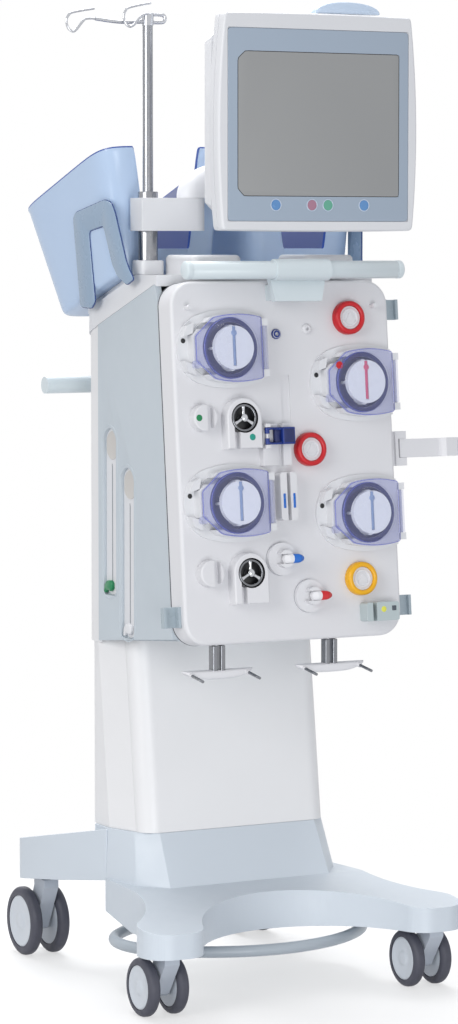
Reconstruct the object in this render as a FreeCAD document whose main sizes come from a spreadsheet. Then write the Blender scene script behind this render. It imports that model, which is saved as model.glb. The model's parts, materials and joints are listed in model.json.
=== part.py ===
import FreeCAD, Part
import math
import os
import Sketcher

# Dialysis machine on a wheeled column stand, millimetres.
# Front faces -Y, +X is to the right seen from the front, +Z is up.
# The origin lies on the floor under the middle of the machine.

Vector = FreeCAD.Vector

SIZES = {
    # base castings
    "front_stem_x": 258,
    "front_stem_y": -303,
    "rear_stem_x": 218,
    "rear_stem_y": 257,
    "arm_end_radius": 50,
    "leg_end_radius": 45,
    "arch_y": -186,
    "arch_start_x": 196,
    "arch_start_y": -316,
    "arm_bottom": 108,
    "arm_tip_top": 150,
    "arm_root_top": 182,
    "block_foot_y": -124,
    "waist_x": 226,
    "waist_y": -110,
    "base_side_x": 214,
    "base_split_y": 20,
    "skirt_rise": 16,
    "joint_height": 271,
    "joint_front_y": -72,
    "block_foot_flare": 34,
    "leg_root_bottom": 178,
    "leg_tip_bottom": 142,
    "leg_tip_top": 214,
    "leg_bulge_x": 252,
    "rear_arch_y": 158,
    "rear_arch_x": 150,
    # column
    "column_lean": 7.3,
    "column_top": 632,
    "shoulder_x": 183,
    "shoulder_depth": 32,
    "column_side_x": 203.7,
    "column_side_start": 96,
    "column_corner": 46,
    "column_back_y": 118,
    "column_wall": 4,
    "seam": 0.3,
    "spine_wide": 120,
    "spine_deep": 60,
    "spine_y": 56,
    "spine_wall": 5,
    "spine_foot": 200,
    "spine_top": 1120,
    # castors
    "front_wheel": 100,
    "rear_wheel": 125,
    "wheel_wide": 21,
    "wheel_centre": 27,
    "front_trail": 32,
    "rear_trail": 36,
    "axle": 8,
    "stem": 14,
    "stem_grip": 30,
    "running_gap": 0.06,
    "fit_gap": 0.4,
    "hood_thick": 28,
    "hood_half": 22,
    "hub_share": 0.74,
    # brake ring
    "ring_half_wide": 233,
    "ring_half_deep": 165,
    "ring_side_radius": 110,
    "ring_middle_y": -80,
    "ring_height": 84,
    "ring_tube": 20,
    "ring_ear_x": 46,
    "ring_pivot_z": 108,
    "ring_pin": 10,
    "ring_lug_thick": 12,
    # cabinet
    "panel_foot_y": -284.5,
    "panel_foot_z": 622,
    "panel_lean": 5.47,
    "panel_half": 211,
    "panel_tall": 614,
    "panel_deep": 50,
    "panel_corner": 42,
    "panel_edge": 6,
    "panel_wall": 4,
    "panel_gap": 0.4,
    "side_thick": 12,
    "side_back_y": 50,
    "side_low_z": 600,
    "slab_thick": 39,
    "slab_drop_y": -98,
    "slab_top": 1243,
    "slab_slope": 18.5,
    "cabinet_back_y": 123,
    "cabinet_corner": 50,
    "rear_low_z": 597,
    "rear_half": 208,
    "shell_wall": 4,
    "window_high": 62,
    "channel_wide": 50,
    "channel_depth": 7,
    "warmer_y": 5,
    "warmer_low_z": 684,
    "warmer_high_z": 976,
    "warmer_step": 69,
    "line_channel_x": 1,
    "line_channel_wide": 17,
    "line_channel_low": 371,
    "line_channel_tall": 82,
    # spoked dials and tube guides beside them
    "dial_x": -92,
    "upper_dial_v": 381,
    "lower_dial_v": 119,
    "dial_radius": 24,
    "dial_ring": 5,
    "dial_shaft": 8,
    "dial_shaft_long": 30,
    "dial_housing_half": 33,
    "dial_housing_up": 34,
    "dial_housing_down": 52,
    "dial_housing_out": 24,
    "knob_x": -163,
    "upper_knob_v": 383,
    "lower_knob_v": 121,
    "knob_radius": 23,
    "knob_out": 20,
    "knob_slot": 13,
    "knob_shaft": 8,
    # clamps, sensors and ports on the front panel
    "lid_x": -27,
    "lid_v": 349,
    "lid_wide": 54,
    "lid_tall": 42,
    "lid_seat_out": 14,
    "lid_block_tall": 29,
    "lid_pin": 4,
    "sensor_x": -12,
    "sensor_v": 246,
    "sensor_wide": 32,
    "sensor_tall": 82,
    "sensor_out": 22,
    "sensor_slot": 7,
    "clamp_radius": 28,
    "clamp_base_out": 9,
    "clamp_turret_out": 24,
    "clamp_turret_radius": 15,
    "clamp_pin": 5,
    "blue_clamp_x": -23,
    "blue_clamp_v": 140,
    "red_clamp_x": 28,
    "red_clamp_v": 75,
    "lever_long": 30,
    "lever_wide": 16,
    "port_radius": 29,
    "port_face_radius": 20,
    "port_out": 16,
    "upper_port_x": 128,
    "upper_port_v": 549,
    "middle_port_x": 41,
    "middle_port_v": 325,
    "lower_port_x": 130,
    "lower_port_v": 100,
    "detector_x": 160,
    "detector_v": 42,
    "detector_wide": 64,
    "detector_tall": 32,
    "detector_out": 26,
    "detector_slot": 8,
    "post_radius": 5,
    "post_out": 16,
    "left_post_x": -183,
    "right_post_x": 177,
    "post_v": 569,
    "socket_x": -13,
    "socket_v": 523,
    "socket_radius": 8.5,
    "second_socket_x": 47,
    "second_socket_v": 531,
    "clip_out": 30,
    "clip_tall": 35,
    "upper_clip_v": 564,
    "lower_clip_v": 50,
    # filter holder
    "holder_v": 322,
    "holder_tall": 60,
    "holder_arm": 74,
    "holder_arm_tall": 32,
    "holder_arm_thick": 16,
    "holder_jaw": 34,
    "holder_pin": 8,
    # hooks under the cabinet
    "hook_post_y": -262,
    "left_hook_x": -140,
    "right_hook_x": 78,
    "hook_post_low": 578,
    "hook_post_half": 12,
    "hook_beam_half": 68,
    "hook_beam_tall": 16,
    "hook_beam_deep": 22,
    "hook_pin": 5,
    "hook_pin_long": 42,
    "hook_pin_tilt": 8,
    # front handle
    "handle_y": -277,
    "handle_z": 1252,
    "handle_tube": 30,
    "handle_half": 205,
    "handle_cap": 7,
    "bracket_wide_top": 110,
    "bracket_wide_low": 90,
    "bracket_thick": 12,
    "bracket_low_v": 576,
    "bracket_stand": 30,
    # rear handle
    "push_bar_y": 187,
    "push_bar_z": 1045,
    "push_bar_half": 250,
    "push_bar_tube": 30,
    "push_bracket_x": 140,
    "push_bracket_wide": 34,
    "push_bracket_tall": 70,
    # infusion pole
    "pole_x": -187,
    "pole_y": -98,
    "pole_outer": 34,
    "pole_bore": 19.2,
    "pole_inner": 18,
    "pole_socket_wide": 45,
    "pole_socket_top": 1268,
    "pole_outer_top": 1385,
    "pole_inner_low": 1262,
    "pole_top": 1684,
    "hook_reach": 113,
    "hook_wire": 4.6,
    "hook_tube": 7,
    "hook_bend": 13,
    "hook_cap_tall": 18,
    # monitor
    "monitor_x": 60,
    "monitor_y": -256,
    "monitor_low": 1316,
    "monitor_wide": 388,
    "monitor_tall": 370,
    "monitor_corner": 34,
    "bezel_deep": 34,
    "shell_deep": 58,
    "shell_inset": 26,
    "glass_wide": 352,
    "glass_low": 18,
    "glass_tall": 324,
    "glass_thick": 3,
    "lamp_wide": 130,
    "lamp_x": 62,
    "lamp_rise": 19,
    "lamp_deep": 60,
    "arm_x": -105,
    "arm_pivot": 48,
    "mount_low": 1318,
    "mount_tall": 56,
    "dome_rise": 66,
    "arm_reach_x": 62,
    "arm_pin": 20,
    "tilt_z": 1400,
    "tilt_pin": 14,
    "tilt_ear": 16,
    # trays and scales
    "tray_front_y": -70,
    "tray_centre_x": 134,
    "tray_low_half": 96,
    "tray_top_half": 124,
    "tray_low_deep": 262,
    "tray_top_deep": 356,
    "tray_tall": 206,
    "tray_lip": 62,
    "tray_tilt": 18.5,
    "tray_low_z": 1248,
    "tray_wall": 3.5,
    "tray_chamfer": 42,
    "scoop_half": 92,
    "scoop_depth": 134,
    "scale_wide": 96,
    "scale_deep": 120,
    "scale_tall": 34,
    "scale_x": 110,
    "scale_y": -150,
    "platform_wide": 130,
    # pumps
    "left_pump_x": -115,
    "right_pump_x": 138.5,
    "pump_1_v": 499,
    "pump_2_v": 437,
    "pump_3_v": 238,
    "pump_4_v": 213,
    "plate_right": 70,
    "plate_left": 90,
    "plate_half": 62,
    "plate_thick": 5,
    "bed_left": 70,
    "bed_right": 60,
    "bed_half": 56,
    "bed_rise": 20,
    "bed_floor": 3,
    "tube_way": 11,
    "plate_bow": 190,
    "plate_sweep": 36,
    "race_radius": 44,
    "rotor_radius": 37,
    "rotor_hub": 14,
    "rotor_cap_thick": 10,
    "rotor_cap_out": 41,
    "rotor_floor": 10,
    "rotor_arm_thick": 4,
    "rotor_arm_wide": 20,
    "roller": 15,
    "roller_orbit": 31.5,
    "roller_pin": 5,
    "guide_pin": 5,
    "shaft": 10,
    "shaft_long": 60,
    "motor_wide": 62,
    "motor_long": 70,
    "cover_left": 68,
    "cover_right": 60.5,
    "cover_half": 56,
    "cover_rim": 5,
    "cover_dome": 44,
    "cover_dome_out": 49,
    "cover_wall": 3,
    "hinge_x": 68,
    "hinge_half": 43,
    "hinge_lug": 12,
    "hinge_pin": 5,
    "hinge_out": 21,
    "hinge_boss": 11,
}


class Size:
    """A number together with the sheet expression that gives it."""

    def __init__(self, value, text):
        self.value = float(value)
        self.text = text

    def __add__(self, other):
        other = as_size(other)
        return Size(self.value + other.value, f"({self.text} + {other.text})")

    def __radd__(self, other):
        return as_size(other) + self

    def __sub__(self, other):
        other = as_size(other)
        return Size(self.value - other.value, f"({self.text} - {other.text})")

    def __rsub__(self, other):
        return as_size(other) - self

    def __mul__(self, other):
        other = as_size(other)
        return Size(self.value * other.value, f"({self.text} * {other.text})")

    def __rmul__(self, other):
        return as_size(other) * self

    def __truediv__(self, other):
        other = as_size(other)
        return Size(self.value / other.value, f"({self.text} / {other.text})")

    def __neg__(self):
        return Size(-self.value, f"(-1 * {self.text})")


def as_size(number):
    if isinstance(number, Size):
        return number
    return Size(number, f"({number})")


def sine(angle):
    return Size(math.sin(math.radians(angle.value)), f"sin({angle.text} * 1 deg)")


def cosine(angle):
    return Size(math.cos(math.radians(angle.value)), f"cos({angle.text} * 1 deg)")


def tangent(angle):
    return Size(math.tan(math.radians(angle.value)), f"tan({angle.text} * 1 deg)")


class SizeBook:
    """Gives each named cell of the sheet as a Size."""

    def __getattr__(self, name):
        return Size(SIZES[name], f"Sizes.{name}")


size = SizeBook()
doc = FreeCAD.newDocument("DialysisMachine")
pieces = []


def fill_sheet():
    sheet = doc.addObject("Spreadsheet::Sheet", "Sizes")
    for row, (name, number) in enumerate(SIZES.items(), start=1):
        sheet.set(f"A{row}", name)
        sheet.set(f"B{row}", str(number))
        sheet.setAlias(f"B{row}", name)
    doc.recompute()


def bind(thing, path, amount):
    thing.setExpression(path, as_size(amount).text)


def new_body(name, several=False):
    body = doc.addObject("PartDesign::Body", name)
    body.Label = name
    body.AllowCompound = several
    return body


def keep(*things):
    pieces.extend(things)


def place(thing, x=0, y=0, z=0, axis=None, angle=0):
    """Puts a piece at x, y, z, turned by angle about axis."""
    turn = FreeCAD.Rotation(axis or Vector(0, 0, 1), as_size(angle).value or 1)
    thing.Placement = FreeCAD.Placement(Vector(0, 0, 0), turn)
    bind(thing, "Placement.Rotation.Angle", angle)
    bind(thing, "Placement.Base.x", x)
    bind(thing, "Placement.Base.y", y)
    bind(thing, "Placement.Base.z", z)


def on_panel(across, up, out=0):
    """World place of a point on the leaning front panel: across it, up it and out from its face."""
    lean = size.panel_lean
    x = as_size(across)
    y = size.panel_foot_y + up * sine(lean) - out * cosine(lean)
    z = size.panel_foot_z + up * cosine(lean) + out * sine(lean)
    return x, y, z


def place_on_panel(thing, across=0, up=0, out=0):
    x, y, z = on_panel(across, up, out)
    place(thing, x, y, z, Vector(1, 0, 0), -size.panel_lean)


def sketch_on(body, plane, lift=0):
    """Sketch on an origin plane of the body, lifted along the plane's normal."""
    sketch = body.newObject("Sketcher::SketchObject", f"{body.Name}_outline")
    support = next(item for item in body.Origin.OriginFeatures if item.Role == plane)
    sketch.AttachmentSupport = (support, "")
    sketch.MapMode = "FlatFace"
    bind(sketch, "AttachmentOffset.Base.z", lift)
    return sketch


def arc_between(start, end, radius):
    """Short arc from start to end; a positive radius keeps its centre on the left of the way."""
    chord = end - start
    middle = (start + end) * 0.5
    left = Vector(-chord.y, chord.x, 0).normalize()
    reach = math.sqrt(max(radius**2 - chord.Length**2 / 4, 0))
    centre = middle + left * math.copysign(reach, radius)
    first, last = (start, end) if radius > 0 else (end, start)
    circle = Part.Circle(centre, Vector(0, 0, 1), abs(radius))
    return Part.ArcOfCircle(circle, circle.parameter(first), circle.parameter(last))


def outline(sketch, corners):
    """Closed outline through corners (x, y) or (x, y, radius), where radius bends the edge that follows."""
    base = sketch.GeometryCount
    count = len(corners)
    spots = [(as_size(corner[0]), as_size(corner[1])) for corner in corners]
    points = [Vector(x.value, y.value, 0) for x, y in spots]
    starts = []
    ends = []
    for index, corner in enumerate(corners):
        here = points[index]
        there = points[(index + 1) % count]
        if len(corner) == 2:
            sketch.addGeometry(Part.LineSegment(here, there), False)
            starts.append(1)
            ends.append(2)
            continue
        bend = as_size(corner[2])
        sketch.addGeometry(arc_between(here, there, bend.value), False)
        starts.append(1 if bend.value > 0 else 2)
        ends.append(2 if bend.value > 0 else 1)
    for index in range(count):
        after = (index + 1) % count
        join = Sketcher.Constraint("Coincident", base + index, ends[index], base + after, starts[after])
        sketch.addConstraint(join)
    for index, (x, y) in enumerate(spots):
        hold(sketch, "DistanceX", base + index, starts[index], x)
        hold(sketch, "DistanceY", base + index, starts[index], y)
    for index, corner in enumerate(corners):
        if len(corner) == 3:
            bend = as_size(corner[2])
            radius = bend if bend.value > 0 else -bend
            number = sketch.addConstraint(Sketcher.Constraint("Radius", base + index, radius.value))
            bind(sketch, f"Constraints[{number}]", radius)
    return sketch


def hold(sketch, kind, geometry, point, amount):
    amount = as_size(amount)
    number = sketch.addConstraint(Sketcher.Constraint(kind, geometry, point, amount.value))
    bind(sketch, f"Constraints[{number}]", amount)


def circle(sketch, x, y, radius):
    x, y, radius = as_size(x), as_size(y), as_size(radius)
    shape = Part.Circle(Vector(x.value, y.value, 0), Vector(0, 0, 1), radius.value)
    index = sketch.addGeometry(shape, False)
    number = sketch.addConstraint(Sketcher.Constraint("Radius", index, radius.value))
    bind(sketch, f"Constraints[{number}]", radius)
    hold(sketch, "DistanceX", index, 3, x)
    hold(sketch, "DistanceY", index, 3, y)
    return sketch


def rectangle(sketch, left, low, right, high):
    return outline(sketch, [(left, low), (right, low), (right, high), (left, high)])


def mirrored(corners):
    """Corners on the right half, from the middle round to the middle, repeated on the left."""
    other = []
    for index in range(len(corners) - 1, -1, -1):
        corner = corners[index]
        if as_size(corner[0]).value == 0:
            continue
        before = corners[index - 1] if index else ()
        bend = before[2:3] if index else ()
        other.append((-corner[0], corner[1], *bend))
    return list(corners) + other


def feature(body, kind, sketch):
    item = body.newObject(f"PartDesign::{kind}", f"{body.Name}_{kind}")
    item.Profile = sketch
    return item


def settle(*things):
    """Works the new features out, so that the next one can read their shapes."""
    for thing in things:
        thing.recompute()


def pad(body, sketch, length, back=False, both=False):
    """Adds material along the sketch normal, against it, or half to each side."""
    item = feature(body, "Pad", sketch)
    bind(item, "Length", length)
    item.Reversed = back
    item.SideType = "Symmetric" if both else "One side"
    settle(sketch, item)
    return item


def cut(body, sketch, depth, back=False, both=False):
    """Removes material against the sketch normal, along it (back), or half to each side."""
    before = body.Tip.Shape.Volume
    item = feature(body, "Pocket", sketch)
    bind(item, "Length", depth)
    item.Reversed = back
    item.SideType = "Symmetric" if both else "One side"
    settle(sketch, item)
    if item.Shape.Volume > before - 1e-3:
        raise RuntimeError(f"{body.Label}: a cut removed nothing")
    return item


def turn(body, sketch, axis, remove=False):
    """Turns the sketch round one of its own axes, H_Axis or V_Axis."""
    item = feature(body, "Groove" if remove else "Revolution", sketch)
    item.ReferenceAxis = (sketch, [axis])
    item.Angle = 360
    settle(sketch, item)
    return item


def loft(body, sketches, remove=False):
    item = feature(body, "SubtractiveLoft" if remove else "AdditiveLoft", sketches[0])
    item.Sections = sketches[1:]
    item.Ruled = True
    settle(*sketches, item)
    return item


def names_of(kind, shapes, test):
    return [f"{kind}{number}" for number, shape in enumerate(shapes, start=1) if test(shape)]


def round_edges(body, test, radius, kind="Fillet"):
    tip = body.Tip
    names = names_of("Edge", tip.Shape.Edges, test)
    if not names:
        raise RuntimeError(f"{body.Label}: no edge to round")
    item = body.newObject(f"PartDesign::{kind}", f"{body.Name}_{kind}")
    item.Base = (tip, names)
    bind(item, "Radius" if kind == "Fillet" else "Size", radius)
    settle(item)
    return item


def hollow(body, test, wall):
    """Leaves a shell of the given wall, open where the test finds faces."""
    tip = body.Tip
    item = body.newObject("PartDesign::Thickness", f"{body.Name}_shell")
    item.Base = (tip, names_of("Face", tip.Shape.Faces, test))
    bind(item, "Value", wall)
    item.Reversed = True
    item.Join = 1
    settle(item)
    return item


def along(axis):
    """Test for straight edges along an axis."""
    def test(edge):
        if edge.Curve.TypeId != "Part::GeomLine":
            return False
        return abs(edge.tangentAt(edge.FirstParameter).dot(axis)) > 0.999
    return test


def in_plane(axis, amount):
    """Test for edges that lie in a plane across an axis."""
    level = as_size(amount).value
    def test(edge):
        box = edge.BoundBox
        low = (box.XMin, box.YMin, box.ZMin)["xyz".index(axis)]
        high = (box.XMax, box.YMax, box.ZMax)["xyz".index(axis)]
        return abs(low - level) < 0.02 and abs(high - level) < 0.02
    return test


def face_at(axis, amount):
    """Test for flat faces that lie in a plane across an axis."""
    return in_plane(axis, amount)


def rod(name, radius, length, x, y, z, axis):
    """Round bar centred on x, y, z along an axis of the part."""
    item = doc.addObject("Part::Cylinder", name)
    bind(item, "Radius", radius)
    bind(item, "Height", length)
    turns = {"x": (Vector(0, 1, 0), 90), "y": (Vector(1, 0, 0), -90), "z": (Vector(0, 0, 1), 0)}
    half = as_size(length) / 2
    start = {"x": (x - half, y, z), "y": (x, y - half, z), "z": (x, y, z - half)}[axis]
    place(item, *start, *turns[axis])
    return item


def join(name, *members, kind="Part::MultiFuse"):
    item = doc.addObject(kind, name)
    item.Label = name
    item.Shapes = list(members)
    return item


def group(name, *members):
    item = doc.addObject("Part::Compound", name)
    item.Label = name
    item.Links = list(members)
    return item


def facing(direction, least=0.9):
    """Test for flat faces whose outward side looks along a direction."""
    def test(face):
        if face.Surface.TypeId != "Part::GeomPlane":
            return False
        return face.normalAt(0, 0).dot(direction) > least
    return test


def upright_at(*spots):
    """Test for edges that rise through one of the given (x, y) places, on either side of the middle."""
    wanted = [(abs(as_size(x).value), as_size(y).value) for x, y in spots]
    def test(edge):
        ends = edge.Vertexes
        if len(ends) != 2 or abs(ends[0].Z - ends[1].Z) < 0.8 * edge.Length:
            return False
        return any(
            min(math.hypot(abs(end.X) - x, end.Y - y) for end in ends) < 0.5
            for x, y in wanted
        )
    return test


def build_base_front():
    body = new_body("base_front")
    tip_x = size.front_stem_x + size.arm_end_radius
    inner_x = size.front_stem_x - size.arm_end_radius
    tip_y = size.front_stem_y - size.arm_end_radius
    side_y = size.front_stem_y + size.arm_end_radius * 0.4
    arch_rise = size.arch_y - size.arch_start_y
    start_x = size.arch_start_x
    arch_radius = (start_x * start_x + arch_rise * arch_rise) / (2 * arch_rise)
    waist_in = tip_x - size.waist_x
    waist_long = size.waist_y - side_y
    waist_radius = (waist_in * waist_in + waist_long * waist_long) / (2 * waist_in)
    plan = sketch_on(body, "XY_Plane", size.arm_bottom)
    outline(plan, mirrored([
        (0, size.arch_y, -arch_radius),
        (start_x, size.arch_start_y),
        (inner_x, tip_y),
        (tip_x, tip_y),
        (tip_x, side_y, -waist_radius),
        (size.waist_x, size.waist_y),
        (size.base_side_x, size.base_split_y),
    ]))
    pad(body, plan, size.arm_root_top - size.arm_bottom)
    corner = size.arm_end_radius * 0.88
    round_edges(body, upright_at((inner_x, tip_y), (tip_x, tip_y), (tip_x, side_y)), corner)
    slope = sketch_on(body, "YZ_Plane")
    before = tip_y - 5
    above = size.arm_root_top + 5
    outline(slope, [
        (before, size.arm_tip_top),
        (size.block_foot_y, size.arm_root_top),
        (size.block_foot_y, above),
        (before, above),
    ])
    cut(body, slope, 2 * tip_x + 10, both=True)
    skirt = sketch_on(body, "YZ_Plane")
    outline(skirt, [
        (size.waist_y, size.arm_bottom - 1),
        (size.base_split_y + 1, size.arm_bottom - 1),
        (size.base_split_y + 1, size.arm_bottom + size.skirt_rise),
    ])
    cut(body, skirt, 2 * tip_x + 10, both=True)
    foot = size.block_foot_flare
    low = sketch_on(body, "XY_Plane", size.arm_tip_top)
    outline(low, mirrored([
        (size.shoulder_x - 24, size.joint_front_y - foot * 2),
        (size.shoulder_x + 18, size.joint_front_y + size.shoulder_depth - foot * 1.2),
        (size.base_side_x, size.base_split_y),
    ]))
    high = sketch_on(body, "XY_Plane", size.joint_height)
    outline(high, mirrored([
        (size.shoulder_x - 29, size.joint_front_y - 3),
        (size.shoulder_x + 4, size.joint_front_y + size.shoulder_depth),
        (size.column_side_x + 5, size.base_split_y),
    ]))
    loft(body, [low, high])
    bores = sketch_on(body, "XY_Plane", size.arm_bottom)
    for side in (-1, 1):
        circle(bores, side * size.front_stem_x, size.front_stem_y, size.stem / 2 + size.running_gap)
    cut(body, bores, size.stem_grip, back=True)
    keep(body)


def build_base_rear():
    body = new_body("base_rear")
    front = size.base_split_y + size.seam
    end_y = size.rear_stem_y + size.leg_end_radius
    outer_x = size.rear_stem_x + size.leg_end_radius
    inner_x = size.rear_stem_x - size.leg_end_radius
    plan = sketch_on(body, "XY_Plane", size.leg_tip_bottom)
    outline(plan, mirrored([
        (size.base_side_x - 2, front),
        (size.leg_bulge_x, (front + size.rear_stem_y) / 2),
        (outer_x, size.rear_stem_y),
        (outer_x, end_y),
        (inner_x, end_y),
        (inner_x, size.rear_stem_y - size.leg_end_radius),
        (size.rear_arch_x, size.rear_arch_y),
    ]))
    pad(body, plan, size.joint_height - size.leg_tip_bottom)
    corner = size.leg_end_radius * 0.8
    round_edges(body, upright_at((outer_x, end_y), (inner_x, end_y)), corner)
    wide = 2 * outer_x + 10
    top = sketch_on(body, "YZ_Plane")
    outline(top, [
        (front - 1, size.joint_height - 2),
        (end_y + 1, size.leg_tip_top),
        (end_y + 1, size.joint_height + 1),
        (front - 1, size.joint_height + 1),
    ])
    cut(body, top, wide, both=True)
    under = sketch_on(body, "YZ_Plane")
    outline(under, [
        (front - 1, size.leg_root_bottom),
        (front - 1, size.leg_tip_bottom - 1),
        (end_y + 1, size.leg_tip_bottom - 1),
        (end_y + 1, size.leg_tip_bottom),
    ])
    cut(body, under, wide, both=True)
    seat = sketch_on(body, "XY_Plane", size.leg_root_bottom + 20)
    outline(seat, mirrored([
        (size.column_side_x + 5, front),
        (size.column_side_x + 5, size.column_back_y - size.column_corner),
        (size.column_side_x - size.column_corner, size.column_back_y + 4),
    ]))
    pad(body, seat, size.joint_height - size.leg_root_bottom - 20)
    socket = sketch_on(body, "XY_Plane", size.joint_height)
    half = size.spine_wide / 2 + size.fit_gap
    deep = size.spine_deep / 2 + size.fit_gap
    rectangle(socket, -half, size.spine_y - deep, half, size.spine_y + deep)
    cut(body, socket, size.joint_height - size.spine_foot)
    bores = sketch_on(body, "XY_Plane", size.leg_tip_bottom)
    for side in (-1, 1):
        circle(bores, side * size.rear_stem_x, size.rear_stem_y, size.stem / 2 + size.running_gap)
    cut(body, bores, size.stem_grip + rear_leg_bottom() - size.leg_tip_bottom, back=True)
    keep(body)


def rear_leg_bottom():
    """Height of the sloping underside of a rear leg at its castor."""
    front = size.base_split_y + size.seam
    end_y = size.rear_stem_y + size.leg_end_radius
    share = (end_y - size.rear_stem_y) / (end_y - front + 2)
    return size.leg_tip_bottom + (size.leg_root_bottom - size.leg_tip_bottom) * share


def column_front_y(height):
    """Y of the column's front face at a height."""
    return size.joint_front_y + (height - size.joint_height) * tangent(size.column_lean)


def column_sections(body, corners_at, low, high):
    """Sketches of the same outline at two heights, following the column's lean."""
    sections = []
    for height in (low, high):
        section = sketch_on(body, "XY_Plane", height)
        outline(section, mirrored(corners_at(column_front_y(height))))
        sections.append(section)
    return sections


def build_column():
    low = size.joint_height + size.seam
    high = size.column_top
    wall = size.column_wall
    bend = size.shoulder_depth
    shoulder_x = size.shoulder_x
    flat = shoulder_x - bend
    side_x, back = size.column_side_x, size.column_back_y
    turn_out = size.column_corner
    tail_x = side_x - turn_out
    side_end = back - turn_out
    front = new_body("column_front")
    loft(front, column_sections(front, lambda face: [
        (flat, face, bend),
        (shoulder_x, face + bend),
        (shoulder_x - wall, face + bend, wall - bend),
        (flat, face + wall),
    ], low, high))
    rear = new_body("column_rear")
    loft(rear, column_sections(rear, lambda face: [
        (tail_x, back - wall, wall - turn_out),
        (side_x - wall, side_end),
        (side_x - wall, face + size.column_side_start),
        (shoulder_x - wall, face + bend + size.seam),
        (shoulder_x, face + bend + size.seam),
        (side_x, face + size.column_side_start),
        (side_x, side_end, turn_out),
        (tail_x, back),
    ], low, high))
    keep(front, rear)


def build_spine():
    body = new_body("spine")
    section = sketch_on(body, "XY_Plane", size.spine_foot)
    half = size.spine_wide / 2
    deep = size.spine_deep / 2
    wall = size.spine_wall
    rectangle(section, -half, size.spine_y - deep, half, size.spine_y + deep)
    rectangle(section, wall - half, size.spine_y - deep + wall, half - wall, size.spine_y + deep - wall)
    pad(body, section, size.spine_top - size.spine_foot)
    keep(body)


def build_castor(name, stem_x, stem_y, wheel, trail, leg_bottom):
    """A swivelling hood between twin wheels on one axle, the wheels trailing to the rear."""
    hub = wheel / 2
    top = leg_bottom - size.seam
    half = size.hood_half
    fork = new_body(f"{name}_hood")
    profile = sketch_on(fork, "YZ_Plane")
    outline(profile, [
        (-half, top),
        (-half, top - 14),
        (trail - 15, hub - 12),
        (trail - 6, hub - 17),
        (trail + 8, hub - 15),
        (trail + 15, hub + 6),
        (half, top - 14),
        (half, top),
    ])
    pad(fork, profile, size.hood_thick, both=True)
    stem = sketch_on(fork, "XY_Plane", top - 1)
    circle(stem, 0, 0, size.stem / 2)
    pad(fork, stem, size.stem_grip - 1)
    axle = sketch_on(fork, "YZ_Plane")
    circle(axle, trail, hub, size.axle / 2)
    pad(fork, axle, 2 * size.wheel_centre + 8, both=True)
    place(fork, stem_x, stem_y, 0)
    near = size.wheel_centre - size.wheel_wide / 2
    far = size.wheel_centre + size.wheel_wide / 2
    rim = hub * size.hub_share
    tyres = new_body(f"{name}_tyres", several=True)
    hubs = new_body(f"{name}_hubs", several=True)
    shoulder = size.wheel_wide * 0.32
    rubber = sketch_on(tyres, "XZ_Plane")
    plastic = sketch_on(hubs, "XZ_Plane")
    for side in (1, -1):
        bend = side * shoulder
        tread = [
            (side * near, rim),
            (side * far, rim),
            (side * far, hub - shoulder, bend),
            (side * (far - shoulder), hub),
            (side * (near + shoulder), hub, bend),
            (side * near, hub - shoulder),
        ]
        outline(rubber, tread)
        bore = size.axle / 2 + size.running_gap
        pocket = side * (size.wheel_centre + 4 + size.fit_gap)
        disc = [
            (side * (near + 1), bore),
            (pocket, bore),
            (pocket, 0),
            (side * (far - 1), 0),
            (side * (far - 2.5), rim),
            (side * (near + 1), rim),
        ]
        outline(plastic, disc)
    turn(tyres, rubber, "H_Axis")
    turn(hubs, plastic, "H_Axis")
    for item in (tyres, hubs):
        place(item, stem_x, stem_y + trail, hub)
    keep(fork, group(f"{name}_wheels", tyres, hubs))


def build_castors():
    rear_bottom = rear_leg_bottom()
    for side, word in ((-1, "left"), (1, "right")):
        build_castor(f"castor_front_{word}", side * size.front_stem_x, size.front_stem_y,
                     size.front_wheel, size.front_trail, size.arm_bottom)
        build_castor(f"castor_rear_{word}", side * size.rear_stem_x, size.rear_stem_y,
                     size.rear_wheel, size.rear_trail, rear_bottom - 3)


def oval_path(sketch, half_wide, half_deep, side_radius, middle):
    """Oval of four tangent arcs, centred on x = 0 and y = middle."""
    across = half_wide - side_radius
    end_radius = (across * across + half_deep * half_deep - side_radius * side_radius) / (
        2 * (half_deep - side_radius))
    drop = end_radius - half_deep
    reach = end_radius - side_radius
    joint_x = across * (end_radius / reach)
    joint_y = drop * (side_radius / reach)
    outline(sketch, [
        (-joint_x, middle - joint_y, end_radius),
        (joint_x, middle - joint_y, side_radius),
        (joint_x, middle + joint_y, end_radius),
        (-joint_x, middle + joint_y, side_radius),
    ])


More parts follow.
